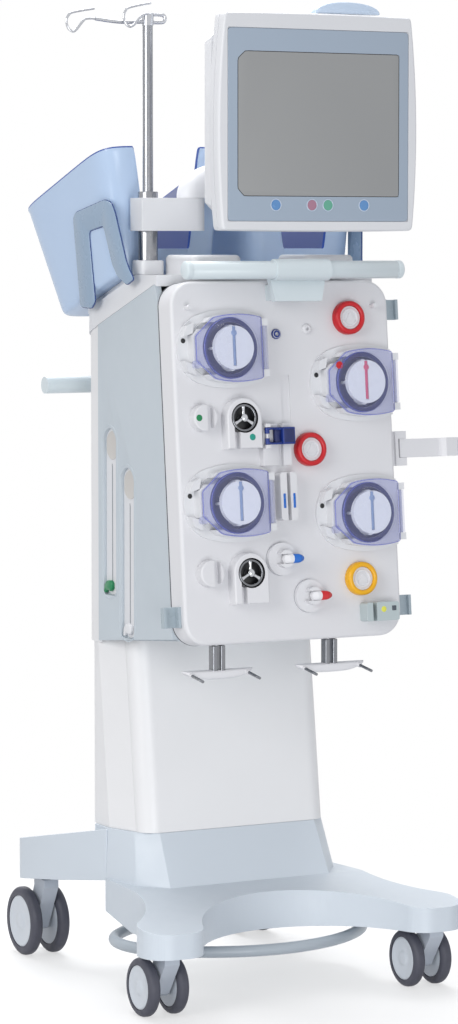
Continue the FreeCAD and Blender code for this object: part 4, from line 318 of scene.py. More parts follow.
# A smooth line through a few spots: each spot pulls with a Catmull-Rom blend of its neighbours.
def smoothLine(spots, between=10):
    spots = np.asarray(spots, float)
    padded = np.vstack([2 * spots[0] - spots[1], spots, 2 * spots[-1] - spots[-2]])
    share = np.linspace(0, 1, between, endpoint=False)[None, :, None]
    a, b, c, d = (padded[k:k + len(spots) - 1][:, None] for k in range(4))
    line = 0.5 * (2 * b + (c - a) * share + (2 * a - 5 * b + 4 * c - d) * share ** 2
                  + (3 * b - a - 3 * c + d) * share ** 3)
    return np.vstack([line.reshape(-1, spots.shape[1]), spots[-1:]])


# Points spaced evenly along a closed line through the given ones, and the line's length.
def evenly(shape, count):
    closed = np.vstack([shape, shape[:1]])
    length = np.concatenate([[0], np.cumsum(np.linalg.norm(np.diff(closed, axis=0), axis=1))])
    at = np.linspace(0, length[-1], count, endpoint=False)
    return np.stack([np.interp(at, length, closed[:, 0]), np.interp(at, length, closed[:, 1])], axis=1), length[-1]


# A closed outline from corners, resampled evenly and rounded by a Gaussian on its Fourier terms.
def mouldedOutline(corners, soft, count=160):
    even, around = evenly(np.array(corners, float), count * 4)
    line = even[:, 0] + 1j * even[:, 1]
    turns = np.fft.fftfreq(len(line), d=around / len(line))
    line = np.fft.ifft(np.fft.fft(line) * np.exp(-2 * (np.pi * turns * soft) ** 2))[::4]
    return np.stack([line.real, line.imag], axis=1)


# A rectangle's corners, anticlockwise from the lower left.
def rectangle(left, low, right, high):
    return [(left, low), (right, low), (right, high), (left, high)]


# Corner points of an edge that bows out of its chord: a circle's arc of that height.
def bowed(start, end, height, count=24):
    start, end = np.array(start, float), np.array(end, float)
    chord = end - start
    half = np.linalg.norm(chord) / 2
    radius = (half ** 2 + height ** 2) / (2 * height)
    sweep = np.linspace(-1, 1, count)[:, None] * math.asin(half / radius)
    forward = chord / (2 * half)
    off = np.array([forward[1], -forward[0]])
    return (start + end) / 2 + radius * np.sin(sweep) * forward + (radius * (np.cos(sweep) - 1) + height) * off


# |x / a| ^ n + |z / b| ^ n = 1: bowed sides and full corners, from one angle.
def superOutline(halfWide, halfTall, power, count=192):
    angle = fullTurn(count)
    c, s = np.cos(angle), np.sin(angle)
    return np.stack([halfWide * np.sign(c) * np.abs(c) ** (2 / power),
                     halfTall * np.sign(s) * np.abs(s) ** (2 / power)], axis=1)


# The same outline pulled in along its own normals by each ring's inset, at each ring's height.
def rings(shape, steps):
    heading = np.roll(shape, -1, axis=0) - np.roll(shape, 1, axis=0)
    inward = np.stack([-heading[:, 1], heading[:, 0]], axis=1)
    inward /= np.linalg.norm(inward, axis=1)[:, None]
    area = np.sum(shape[:, 0] * np.roll(shape[:, 1], -1) - shape[:, 1] * np.roll(shape[:, 0], -1))
    inset, height = np.array(steps, float).T
    flat = shape[None] + np.sign(area) * inset[:, None, None] * inward[None]
    return flat, np.broadcast_to(height[:, None], flat.shape[:2])


# Radius of a star-shaped outline at even angles, so that circles and outlines share their columns.
def polar(shape, count=128):
    angle = np.unwrap(np.arctan2(shape[:, 1], shape[:, 0]))
    order = np.argsort(angle % (2 * np.pi))
    wrapped = (angle % (2 * np.pi))[order]
    reach = np.linalg.norm(shape, axis=1)[order]
    even = fullTurn(count)
    return even, np.interp(even, wrapped, reach, period=2 * np.pi)


panel = {"foot": np.array([0.0, -0.2845, 0.622]), "lean": math.radians(5.47), "half": 0.211, "tall": 0.614,
         "corner": 0.042}
across = np.array([1.0, 0.0, 0.0])
upright = np.array([0.0, 0.0, 1.0])
rising = np.array([0.0, math.sin(panel["lean"]), math.cos(panel["lean"])])
outward = np.array([0.0, -math.cos(panel["lean"]), math.sin(panel["lean"])])


# Points of the leaning front panel: across it, up along it and out of it, all in metres.
def onPanel(x, up, out):
    x, up, out = (np.asarray(value, float)[..., None] for value in (x, up, out))
    return panel["foot"] + x * across + up * rising + out * outward


# A block standing on the panel: its outline at five levels, pulled in a little at both rims.
def panelBlock(name, shape, x, up, low, high, finish, rim, body="stand", slotName="white_shell"):
    steps = [(rim * 0.3, low), (0, low + rim * 0.4), (0, high - rim), (rim * 0.3, high - rim * 0.3), (rim, high)]
    flat, height = rings(shape, steps)
    return skin(name, onPanel(x + flat[..., 0], up + flat[..., 1], height), finish, body, slotName)


# A disc or ring turned about the panel's outward axis.
def panelTurned(name, profile, x, up, finish, body="stand", slotName="white_shell", ends="pole"):
    return skin(name, turned(profile, onPanel(x, up, 0.0), outward, across), finish, body, slotName, ends=ends)


# A small disc with a bevelled rim, turned about the same axis.
def dot(name, x, up, out, radius, finish, body="stand", slotName="white_shell"):
    profile = [(0, out - 0.001), (radius, out - 0.001), (radius, out + 0.0002), (radius * 0.9, out + 0.0004),
               (0, out + 0.0004)]
    panelTurned(name, profile, x, up, finish, body, slotName)


plainNodes = {
    "hoodGrey": [f"castor_{end}_{side}_hood" for end in ("front", "rear") for side in ("left", "right")],
    "paleTube": ["handle_bracket", "push_bar"],
    # The brake ring takes a darker copy of the tube coating: painted shade.
    "brakeRingShadedGrey": ["brake_ring"],
    "dullSteel": ["brake_hanger", "spine", "pump_motors"],
    "ivoryColumn": ["column_front", "column_rear", "rear_housing"],
    "blueGreyShell": ["cabinet_floor"],
    "panelWhite": ["front_panel", "line_mounts", "tube_guide_upper", "tube_guide_lower", "line_fittings",
                   "holder_arm"],
    "whiteShell": ["top_cover", "monitor_shell", "scale_heads"],
    "pumpBody": ["pump_beds"],
    "rotorWhite": [f"pump_rotor_{number}" for number in range(1, 5)],
}
for finish, names in plainNodes.items():
    for name in names:
        mesh = nodes[name].data
        mesh.materials.clear()
        mesh.materials.append(finishes[finish])

# Finish, bevel width, crease angle and bevel segments.
weldedNodes = {
    "base_front": ("castingPaint", 0.006, 30.0, 4),
    "base_rear": ("castingPaint", 0.006, 30.0, 4),
    "side_panel_left": ("blueGreyShell", 0.003, 40.0, 3),
    "side_panel_right": ("blueGreyShell", 0.003, 40.0, 3),
    "monitor_bracket": ("whiteShell", 0.008, 30.0, 5),
    "edge_fittings": ("panelWhite", 0.0012, 38.0, 2),
    "line_sensors": ("panelWhite", 0.0012, 38.0, 2),
}
welded = {name: weldedCopy(name, *look) for name, look in weldedNodes.items()}
tint(welded["edge_fittings"], "clipGrey", (-1, -1, 1.0), (1, 1, 2.0))
tint(welded["edge_fittings"], "clipGrey", (-1, -1, 0.0), (1, 1, 0.85))
tint(welded["line_sensors"], "blockGrey", (0.12, -1, 0), (1, 1, 2))
print("nodes dressed:", sum(len(names) for names in plainNodes.values()) + len(welded))

castors = {"front": {"x": 0.258, "y": -0.303, "trail": 0.032, "radius": 0.05},
           "rear": {"x": 0.218, "y": 0.257, "trail": 0.036, "radius": 0.0625}}
wheel = {"near": 0.0166, "far": 0.0374, "rim": 0.74, "crown": 0.0065}


# Twin wheels: a tyre with a rounded tread and a dished disc cover outside each, both turned about the axle.
def makeWheels(end, side, way):
    castor = castors[end]
    body = f"castor_{end}_{side}_wheel_pair"
    radius, near, far = castor["radius"], wheel["near"], wheel["far"]
    centre = np.array([way * castor["x"], castor["y"] + castor["trail"], radius])
    rim = radius * wheel["rim"]
    reach = np.linspace(-1, 1, 17)
    tread = zip(radius - wheel["crown"] * np.abs(reach) ** 3.4, (near + far) / 2 + reach * (far - near) / 2)
    tyre = [(rim + 0.001, near), *tread, (rim + 0.001, far)]
    disc = [(0, 0.0316), (0.0041, 0.0316), (0.0041, near + 0.0012), (rim, near + 0.0012),
            (rim + 0.0004, far - 0.0016), (rim - 0.002, far - 0.0004), (rim * 0.93, far - 0.0003),
            (rim * 0.86, far - 0.0016), (rim * 0.45, far - 0.0022), (rim * 0.34, far - 0.0021),
            (rim * 0.3, far - 0.0008), (rim * 0.24, far - 0.0004), (0, far - 0.0004)]
    for hand, face in (("left", -1), ("right", 1)):
        label = f"castor_{end}_{side}_{hand}"
        skin(f"{label}_tyre", turned(tyre, centre, face * across, upright, 96), "tyre", body, "castor_tyre",
             ends="ring")
        cover = skin(f"{label}_cover", turned(disc, centre, face * across, upright, 96), "castorGrey", body,
                     "castor_tyre", ends="pole", crease=50.0)
    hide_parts(f"castor_{end}_{side}_wheels")


for end in castors:
    for side, way in (("left", -1), ("right", 1)):
        makeWheels(end, side, way)
print("castors rolled")

handle = {"half": 0.212, "radius": 0.0155, "dome": 0.005, "place": np.array([0, -0.277, 1.252])}


# The front handle: a tube turned about X with domed caps and a fine seam where each cap begins.
def makeHandle():
    half, radius = handle["half"], handle["radius"]
    cap = [(radius * math.sin(a), half - handle["dome"] * (1 - math.cos(a))) for a in np.linspace(0, np.pi / 2, 9)]
    right = [*cap, (radius, half - 0.0125), (radius - 0.0006, half - 0.0128), (radius - 0.0006, half - 0.0134),
             (radius - 0.0003, half - 0.0137)]
    left = [(r, -h) for r, h in reversed(right)]
    piece = skin("handle_front_tube", turned(right + left, handle["place"], across, upright, 64), "paleTube", "stand",
                 "coated_tube", ends="pole", crease=60.0)
    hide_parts("handle_front")


makeHandle()

monitor = {"x": 0.060, "z": 1.501, "half": 0.1945, "tall": 0.1845, "front": -0.256, "bow": 0.0100,
           "glassZ": 1.496, "glassHalf": (0.1757, 0.1617), "keyZ": 1.3615,
           "keys": ((-0.024, "keyBlue"), (0.0459, "keyRose"), (0.0772, "keyGreen"), (0.1481, "keyBlue"))}


# Points of the screen's face: an outline in XZ, each ring lifted off the glass towards the viewer.
def onScreen(flat, lift):
    return points(flat[..., 0], monitor["front"] + 0.0001 - lift, flat[..., 1])


# The bezel blends from the bowed outer outline (0) to the square glass opening (1), ring by ring.
def makeBezel():
    half, tall = monitor["half"], monitor["tall"]
    low, high = (half - 0.0085, -tall + 0.0016), (half - 0.0125, tall - 0.0016)
    side = bowed(low, high, monitor["bow"], 40)
    top = bowed(high, (-high[0], high[1]), 0.0018, 40)
    base = bowed((-low[0], low[1]), low, 0.0018, 40)
    angle, reach = polar(mouldedOutline([*side, *top, *(side[::-1] * [-1, 1]), *base], 0.0045, 900), 720)
    wide, rise = monitor["glassHalf"]
    window = np.array([(wide, -rise), (wide, rise), (-wide, rise), (-wide, -rise)])
    _, opening = polar(mouldedOutline(window + [0, monitor["glassZ"] - monitor["z"]], 0.0008, 1200), 720)
    which, inset, back = np.array([
        (0, 0.0015, 0.034), (0, 0.0, 0.0325), (0, 0.0, 0.0190), (0, 0.0012, 0.0187), (0, 0.0012, 0.0178),
        (0, 0.0, 0.0175), (0, 0.0, 0.0072), (0, 0.0005, 0.0036), (0, 0.0014, 0.0014), (0, 0.0028, 0.0003),
        (0, 0.0038, 0.0), (0, 0.0046, 0.0), (1, -0.0014, 0.0), (1, -0.0010, 0.0), (1, -0.0007, 0.0004),
        (1, -0.0006, 0.0032)]).T
    radius = np.stack([reach, opening])[which.astype(int)] * (1 - inset[:, None] / half)
    grid = points(monitor["x"] + radius * np.cos(angle), (monitor["front"] + back)[:, None],
                  monitor["z"] + radius * np.sin(angle))
    bezel = skin("monitor_bezel_ring", grid, "whiteShell", "screen", "white_shell", crease=30.0)
    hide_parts("monitor_bezel")


# The glass is a superellipse whose rings shrink towards the front; the display, its edge and the keys lie on it.
def makeScreen():
    shrink, back = np.array([(0.0, 0.0028), (0.0, 0.0007), (0.0004, 0.0002), (0.0012, 0.0)]).T
    sheet = superOutline(*monitor["glassHalf"], 60.0, 480)[None] * (1 - shrink[:, None, None] / 0.17)
    grid = points(monitor["x"] + sheet[..., 0], (monitor["front"] + back)[:, None], monitor["glassZ"] + sheet[..., 1])
    glass = skin("monitor_pane", grid, "screenFrame", "screen", "screen_glass")
    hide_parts("monitor_glass")
    plate = mouldedOutline([(-0.085, 1.377), (0.216, 1.377), (0.216, 1.6185), (-0.083, 1.6185), (-0.0965, 1.606),
                            (-0.0965, 1.389)], 0.0012, 200)
    skin("monitor_display", onScreen(*rings(plate, [(0, 0.0), (0, 0.00035), (0.0004, 0.00045)])), "screenDisplay",
         "screen", "screen_glass")
    edge = rings(plate, [(-0.0012, 0.0), (-0.0012, 0.0003), (0.0006, 0.0003), (0.0006, 0.0)])
    skin("monitor_display_edge", onScreen(*edge), "blackPlastic", "screen", "screen_glass", ends="ring")
    rim = [(0.0105, -0.0004), (0.0105, 0.0006), (0.0098, 0.0009), (0.0091, 0.0006), (0.0091, -0.0004)]
    face = [(0, -0.0003), (0.0089, -0.0003), (0.0088, 0.0003), (0.006, 0.0005), (0, 0.0005)]
    ahead = np.array([0, -1.0, 0])
    for number, (x, finish) in enumerate(monitor["keys"]):
        centre = np.array([x, monitor["front"], monitor["keyZ"]])
        skin(f"monitor_key_{number}_rim", turned(rim, centre, ahead, across, 48), "keyRim", "screen", "screen_glass",
             ends="ring")
        skin(f"monitor_key_{number}", turned(face, centre, ahead, across, 48), finish, "screen", "screen_glass",
             ends="pole")


makeBezel()
makeScreen()

arm = {"start": -0.1288, "reach": 0.155, "shoulder": -0.045, "flank": -0.105, "y": -0.098, "foot": 1.3744,
       "rise": 0.060, "deep": 0.024, "fork": (-0.043, 0.163)}


# The arm: a dome whose height follows a quarter ellipse from its pivot, and the fork behind the screen.
def makeArm():
    body, slotName = nodes["monitor_arm"]["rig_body"], slotOf["monitor_arm"]
    x = arm["start"] + arm["reach"] * np.linspace(0, 1, 49)[:, None] ** 1.6
    rise, deep = (arm[size] * np.sqrt(1 - np.clip((arm[full] - x) / (arm[full] - arm["start"]), 0, 1) ** 2)
                  for size, full in (("rise", "shoulder"), ("deep", "flank")))
    turn = fullTurn(64)
    c, s = np.cos(turn), np.sin(turn)
    grid = points(x, arm["y"] + deep * np.sign(c) * np.abs(c) ** 0.72, arm["foot"] + rise * np.maximum(s, 0) ** 0.8)
    dome = skin("monitor_arm_dome", grid, "whiteShell", body, slotName, crease=50.0)
    fork = mouldedOutline([(-0.1596, 1.410), (-0.1256, 1.3800), (-0.1076, 1.3800), (-0.1076, 1.424),
                           (-0.1356, 1.432), (-0.1586, 1.432)], 0.0012, 160)
    left, right = arm["fork"]
    flat, along = rings(fork, [(0.0015, left), (0, left + 0.0015), (0, right - 0.0015), (0.0015, right)])
    skin("monitor_arm_fork", points(along, flat[..., 0], flat[..., 1]), "whiteShell", body, slotName)
    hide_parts("monitor_arm")


makeArm()

lamp = {"x": 0.122, "z": 1.6866, "half": 0.0645, "tall": 0.0205, "front": -0.2458}


# The status lamp: a low dome, an ellipse's upper half along X with its rim rounded front and back.
def makeLamp():
    angle = np.linspace(0, np.pi, 49)
    back, lift = np.array([(0.0, 0.9), (0.0008, 0.965), (0.004, 1.0), (0.012, 1.0), (0.020, 1.0), (0.0232, 0.965),
                           (0.024, 0.9)]).T[..., None]
    grid = points(lamp["x"] + lamp["half"] * lift * np.cos(angle), lamp["front"] + back,
                  lamp["z"] + lamp["tall"] * lift * np.sin(angle) ** 0.85)
    dome = skin("status_lamp_dome", grid, "lampLens", "screen", "lamp_lens", crease=45.0)
    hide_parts("status_lamp")


makeLamp()
print("monitor made")

pole = {"x": -0.187, "y": -0.098, "high": 1.6855, "low": 1.6725, "left": 0.113}


# The fixed pole: a superellipse block with a round seat, and the outer tube turned about the upright axis, in the
# darkened steel of a painted dark reflection.
def makePoleFoot():
    block = superOutline(0.0224, 0.0224, 5.0, 96)
    flat, height = rings(block, [(0.001, 1.2431), (0, 1.244), (0, 1.2655), (0.0008, 1.2672), (0.003, 1.268)])
    seat = 0.0172 * block / np.linalg.norm(block, axis=1)[:, None]
    flat = np.concatenate([flat, [seat, seat]])
    height = np.concatenate([height[:, :1], [[1.268], [1.2465]]])
    grid = points(pole["x"] + flat[..., 0], pole["y"] + flat[..., 1], height)
    socket = skin("pole_socket_block", grid, "whiteShell", "stand", "steel_tube")
    wall = [(0.0170, 1.2475), (0.0170, 1.3835), (0.0164, 1.3848), (0.0103, 1.3848), (0.0096, 1.384), (0.0096, 1.2475)]
    foot = np.array([pole["x"], pole["y"], 0.0])
    skin("pole_outer_tube", turned(wall, foot, upright, across, 64), "poleSteel", "stand", "steel_tube", ends="ring")
    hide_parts("pole_tube")


# The sliding rod with its turned cap, and hooks bent from wire along smooth lines; the rod is in the darkened steel
# of a painted dark reflection.
def makePoleTop():
    foot = np.array([pole["x"], pole["y"], 0.0])
    rod = [(0, 1.262), (0.009, 1.262), (0.009, 1.6836), (0, 1.6839)]
    piece = skin("pole_rod_shank", turned(rod, foot, upright, across, 48), "poleSteel", "pole_upper", "steel_tube",
                 ends="pole")
    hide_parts("pole_rod")
    cap = [(0, 1.6891), (0.0085, 1.6889), (0.0105, 1.687), (0.0105, 1.6664), (0.0092, 1.6664), (0.0092, 1.6842),
           (0, 1.6842)]
    top = skin("pole_cap", turned(cap, foot, upright, across, 48), "chrome", "pole_upper", "steel_tube", ends="pole")
    high, low, left = pole["high"], pole["low"], pole["left"]
    bar = [(-0.004, high), (0.024, high), (0.032, high - 0.003), (0.032, low + 0.003), (0.024, low), (-0.010, low),
           (-0.055, low - 0.001), (0.014 - left, low + 0.003)]
    far = [(0.022 - left, low + 0.003), (-left, low + 0.003), (-left - 0.008, low - 0.001),
           (-left - 0.021, low - 0.016), (-left - 0.028, low - 0.0195), (-left - 0.036, low - 0.015),
           (-left - 0.0397, low - 0.003), (-left - 0.036, low + 0.007), (-left - 0.026, low + 0.013),
           (-left + 0.012, low + 0.020)]
    near = [(0, high), (-0.007, high), (-0.016, high - 0.004), (-0.029, high - 0.018), (-0.037, high - 0.022),
            (-0.045, high - 0.018), (-0.049, high - 0.007), (-0.046, high + 0.004), (-0.036, high + 0.011),
            (0.002, high + 0.019)]
    for name, spots, radius, out in (("bar", bar, 0.0035, 0.0), ("far", far, 0.0023, 0.0),
                                     ("near", near, 0.0023, 0.008)):
        line = smoothLine(spots)
        path = points(pole["x"] + line[:, 0], pole["y"] - out, line[:, 1])
        skin(f"pole_hook_{name}", barAlong(path, radius, np.array([0, 1.0, 0])), "chrome", "pole_upper", "steel_tube")
    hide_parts("pole_hooks")


makePoleFoot()
makePoleTop()
print("pole made")

pumps = {1: {"x": -0.115, "up": 0.499, "mark": "crankBlue"}, 2: {"x": 0.1385, "up": 0.437, "mark": "crankRed"},
         3: {"x": -0.115, "up": 0.238, "mark": "crankBlue"}, 4: {"x": 0.1385, "up": 0.213, "mark": "crankBlue"}}
cover = {"half": 0.0517, "right": 0.0603, "hinge": 0.068, "hingeOut": 0.021, "knuckle": 0.0364, "bore": 0.00258,
         "clear": 0.0523}


# The cover's outline: a straight hinge side, bowed top and base, and a cut-off nose on the left.
def coverOutline():
    right, half = cover["right"], cover["half"]
    corners = [*bowed((right, -half), (right, half), 0.0001, 6), *bowed((right, half), (-0.033, 0.052), 0.0058),
               (-0.0678, 0.0213), (-0.0678, -0.0213), *bowed((-0.033, -0.052), (right, -half), 0.0058)]
    return mouldedOutline(corners, 0.0018, 256)


# The pump's clear cover: one wall that runs from the dome's top over its shoulder to the moulded rim and back inside.
def makeCover(number, pump):
    body = f"pump_{number}_cover"
    angle, reach = polar(coverOutline())
    above = [(0, 0.0489), (0.030, 0.0489), (0.0385, 0.0485), (0.0425, 0.0470), (0.0455, 0.0440), (0.0478, 0.0400),
             (0.0500, 0.0345), (0.0508, 0.0320), (0.0515, 0.0308), (0.0520, 0.0304)]
    rim = [(0.0021, 0.0304), (0.0009, 0.0303), (0.0, 0.0296), (0.0, 0.0262), (0.0008, 0.0254)]
    under = [(0.0496, 0.0254), (0.0486, 0.0275), (0.0474, 0.0335), (0.0450, 0.0390), (0.0428, 0.0425),
             (0.0402, 0.0448), (0.0375, 0.0458), (0.030, 0.0460), (0, 0.0460)]
    size, out = np.array(above + rim + under).T[..., None]
    radius = size + 0 * angle
    onRim = slice(len(above), len(above) + len(rim))
    radius[onRim] = np.maximum(reach - size[onRim], cover["clear"])
    grid = onPanel(pump["x"] + radius * np.cos(angle), pump["up"] + radius * np.sin(angle), out + 0 * angle)
    edge = np.zeros(len(out) - 1, int)
    edge[onRim.start - 1:onRim.stop] = 1
    edge[onRim.start - 3:onRim.start - 1] = 2
    edge[onRim.start:onRim.start + 2] = 2
    shell = skin(f"pump_{number}_cover_shell", grid, ["coverClear", "coverEdge", "coverLine"], body, "cover_clear",
                 ends="pole", bands=edge, crease=50.0)
    knuckle = mouldedOutline([(-0.005, -0.004), (0.005, -0.004), (0.0052, 0.004), (0.003, 0.0055),
                              (-0.0105, 0.0092), (-0.0105, 0.0048), (-0.005, 0.0040)], 0.0012, 96)
    turn, far = polar(knuckle, 64)
    reach = np.stack([far, far, cover["bore"] + 0 * far, cover["bore"] + 0 * far])
    lift = np.array([[-1], [1], [1], [-1]]) * cover["knuckle"] + 0 * reach
    grid = onPanel(pump["x"] + cover["hinge"] + reach * np.cos(turn), pump["up"] + lift,
                   cover["hingeOut"] + reach * np.sin(turn))
    skin(f"pump_{number}_cover_knuckle", grid, "coverEdge", body, "cover_clear", ends="ring")
    panelBlock(f"pump_{number}_cover_latch", superOutline(0.0068, 0.0068, 4.0, 64), pump["x"] - 0.067,
               pump["up"] - 0.027, 0.0256, 0.0342, "coverEdge", 0.0022, body, "cover_clear")
    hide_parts(f"pump_cover_{number}")


# What shows through the cover: the dark race, the white cap's crank mark, and the dot on the plate.
def makePumpDetail(number, pump):
    lining = [(0.0062, 0.0082), (0.0431, 0.0082), (0.0436, 0.0092), (0.0434, 0.0247), (0.0439, 0.0249),
              (0.04395, 0.0079), (0.0062, 0.0079)]
    collar = [(0.0441, 0.0249), (0.0519, 0.0249), (0.0520, 0.0253), (0.0441, 0.0253)]
    for part, profile in (("collar", collar), ("lining", lining)):
        panelTurned(f"pump_{number}_race_{part}", profile, pump["x"], pump["up"], "navyRace", "stand", "pump_body",
                    ends="ring")
    bar = mouldedOutline([(-0.0024, -0.0300), (0.0024, -0.0300), (0.0027, 0.0200), (0.0027, 0.0355),
                          (-0.0027, 0.0355), (-0.0027, 0.0200)], 0.0006, 120)
    rotor = (f"pump_{number}_rotor", "rotor_white")
    panelBlock(f"pump_{number}_crank", bar, pump["x"], pump["up"], 0.0382, 0.0413, pump["mark"], 0.0008, *rotor)
    knob = [(0, 0.0405), (0.0052, 0.0405), (0.0052, 0.0416), (0.0044, 0.0422), (0, 0.0424)]
    panelTurned(f"pump_{number}_knob", knob, pump["x"], pump["up"] + 0.0245, pump["mark"], *rotor)
    dot(f"pump_{number}_plate_dot", pump["x"] - 0.0783, pump["up"] + 0.0145, 0.0052, 0.0042, "blackPlastic", "stand",
        "pump_body")


for number, pump in pumps.items():
    makeCover(number, pump)
    makePumpDetail(number, pump)
dot("pump_2_red_dot", 0.0924, 0.4665, 0.0306, 0.0065, "leverRed", "pump_2_cover", "cover_clear")
print("pumps made")

ports = {"upper": (0.128, 0.549, "collarRed"), "middle": (0.041, 0.325, "collarRed"),
         "lower": (0.130, 0.100, "collarYellow")}


# Collared ports: a red or yellow ring with rolled rims round each white face.
def makePorts():
    ring = [(0.0202, 0.0006), (0.0202, 0.0132), (0.0209, 0.0150), (0.0224, 0.0159), (0.0250, 0.0160),
            (0.0272, 0.0150), (0.0286, 0.0128), (0.0290, 0.0040), (0.0290, 0.0006)]
    lip = [(0.0120, 0.0108), (0.0120, 0.0122), (0.0128, 0.0128), (0.0150, 0.0128), (0.0158, 0.0122), (0.0158, 0.0108)]
    for name, (x, up, finish) in ports.items():
        piece = panelTurned(f"port_{name}_collar", ring, x, up, finish, "stand", "port_collar", ends="ring")
        panelTurned(f"port_{name}_lip", lip, x, up, "panelWhite", ends="ring")
    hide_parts("port_rings")


makePorts()
gapShadeBead = {"inset": 0.0028, "out": -0.0470, "radius": 0.0034}


# A dark bead that follows the panel's rounded outline, painted shade of the gap between the white flank and the side
# panel: each point's normal and the outward axis span its round section.
def makeGapShadeBead():
    radius = gapShadeBead["radius"]
    turn = np.linspace(0, np.pi / 2, 13)
    quarters = np.array([(1, 1, 0), (-1, 1, 1), (-1, -1, 2), (1, -1, 3)])
    angle = (turn[None] + quarters[:, 2:] * np.pi / 2).ravel()
    corner = np.repeat(quarters[:, :2], len(turn), axis=0) * [panel["half"] - panel["corner"],
                                                              panel["tall"] / 2 - panel["corner"]]
    normal = np.stack([np.cos(angle), np.sin(angle)], axis=1)
    path = corner + normal * (panel["corner"] - gapShadeBead["inset"]) + [0, panel["tall"] / 2]
    section = fullTurn(12)
    flat = path[:, None] + radius * np.cos(section)[None, :, None] * normal[:, None]
    height = np.broadcast_to(gapShadeBead["out"] + radius * np.sin(section), flat.shape[:2])
    skin("panel_gap_shade", onPanel(flat[..., 0], flat[..., 1], height), "seamGrey", "stand", "white_shell", ends="ring")


makeGapShadeBead()
dials = {"x": -0.092, "ups": {"upper": 0.381, "lower": 0.119}, "ring": (0.0215, 0.0190), "spoke": (0.002, 0.0200)}


# Both spoked dials: a polished ring darker than the spokes' chrome for a painted dark reflection, three tapered
# spokes of elliptical section, a domed hub and a dark well.
def makeDial(word, up):
    node, x = f"spoke_dial_{word}", dials["x"]
    body, slotName = nodes[node]["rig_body"], slotOf[node]
    section = superOutline(0.0024, 0.0038, 3.0, 32) + dials["ring"]
    ring = skin(f"dial_{word}_ring", turned(section, onPanel(x, up, 0.0), outward, across, 96), "dialRing", body,
                slotName, ends="ring")
    reach = np.linspace(*dials["spoke"], 12)[:, None]
    turn = fullTurn(20)[None]
    wide = (0.0042 - 0.0016 * np.sin(np.pi * (reach - 0.002) / 0.018)) * np.cos(turn)
    height = 0.0190 + 0.0024 * np.sin(turn) + 0 * reach
    for number, angle in enumerate(np.radians([90, 210, 330])):
        grid = onPanel(x + reach * math.cos(angle) - wide * math.sin(angle),
                       up + reach * math.sin(angle) + wide * math.cos(angle), height)
        skin(f"dial_{word}_spoke_{number}", grid, "chrome", body, slotName)
    hub = [(0, 0.0105), (0.0066, 0.0105), (0.0068, 0.0205), (0.0062, 0.0236), (0.0044, 0.0252), (0.0022, 0.0258),
           (0, 0.0260)]
    panelTurned(f"dial_{word}_hub", hub, x, up, "chrome", body, slotName)
    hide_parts(node)
    well = [(0.0058, 0.0081), (0.0252, 0.0081), (0.0252, 0.0236), (0.0258, 0.0239), (0.0258, 0.0079),
            (0.0058, 0.0079)]
    panelTurned(f"dial_{word}_well", well, x, up, "blackPlastic", ends="ring")


for word, up in dials["ups"].items():
    makeDial(word, up)
levers = {"blue": {"x": -0.023, "up": 0.140, "finish": "leverBlue"},
          "red": {"x": 0.028, "up": 0.075, "finish": "leverRed"}}
tongue = {"start": -0.0038, "long": 0.0322, "half": 0.0080, "bend": 0.0034, "lens": 0.42}


# A clamp's lever: sections along it bend round its white nose, and the far ones are the coloured lens.
def makeLever(word, lever):
    node = f"clamp_lever_{word}"
    share = np.linspace(0, 1, 41)[:, None]
    along = tongue["start"] + tongue["long"] * share
    low = np.interp(along, [-0.004, 0.006, 0.0284], [0.0118, 0.0118, 0.0262])
    high = np.interp(along, [-0.004, 0.004, 0.020, 0.0284], [0.0205, 0.0288, 0.0322, 0.0276])
    close = np.clip((along - 0.015) / 0.0134, 0, 1)
    root = np.clip((0.0002 - along) / 0.004, 0, 1)
    wide = tongue["half"] * np.sqrt(1 - close ** 2.4) * np.sqrt(1 - root ** 3)
    turn = fullTurn(40)
    c, s = np.cos(turn), np.sin(turn)
    side = wide * np.sign(c) * np.abs(c) ** 0.75
    out = (low + high) / 2 + (high - low) / 2 * np.sqrt(1 - close ** 6) * np.sign(s) * np.abs(s) ** 0.75
    bend = tongue["bend"] * np.clip(share * 2 - 0.4, 0, 1) * (1 - (side / 0.0079) ** 2)
    grid = onPanel(lever["x"] + along + bend, lever["up"] + side, out)
    bands = (share[:-1, 0] > tongue["lens"]).astype(int)
    piece = skin(f"{node}_tongue", grid, ["panelWhite", lever["finish"]], nodes[node]["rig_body"], slotOf[node],
                 bands=bands, crease=60.0)
    edge = [(0.0276, 0.0004), (0.0276, 0.0012), (0.0283, 0.0010), (0.0283, 0.0004)]
    panelTurned(f"clamp_{word}_edge", edge, lever["x"], lever["up"], "railGrey", ends="ring")
    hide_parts(node)


for word, lever in levers.items():
    makeLever(word, lever)
lid = {"x": -0.027, "up": 0.349, "hinge": -0.022, "hingeOut": 0.021}


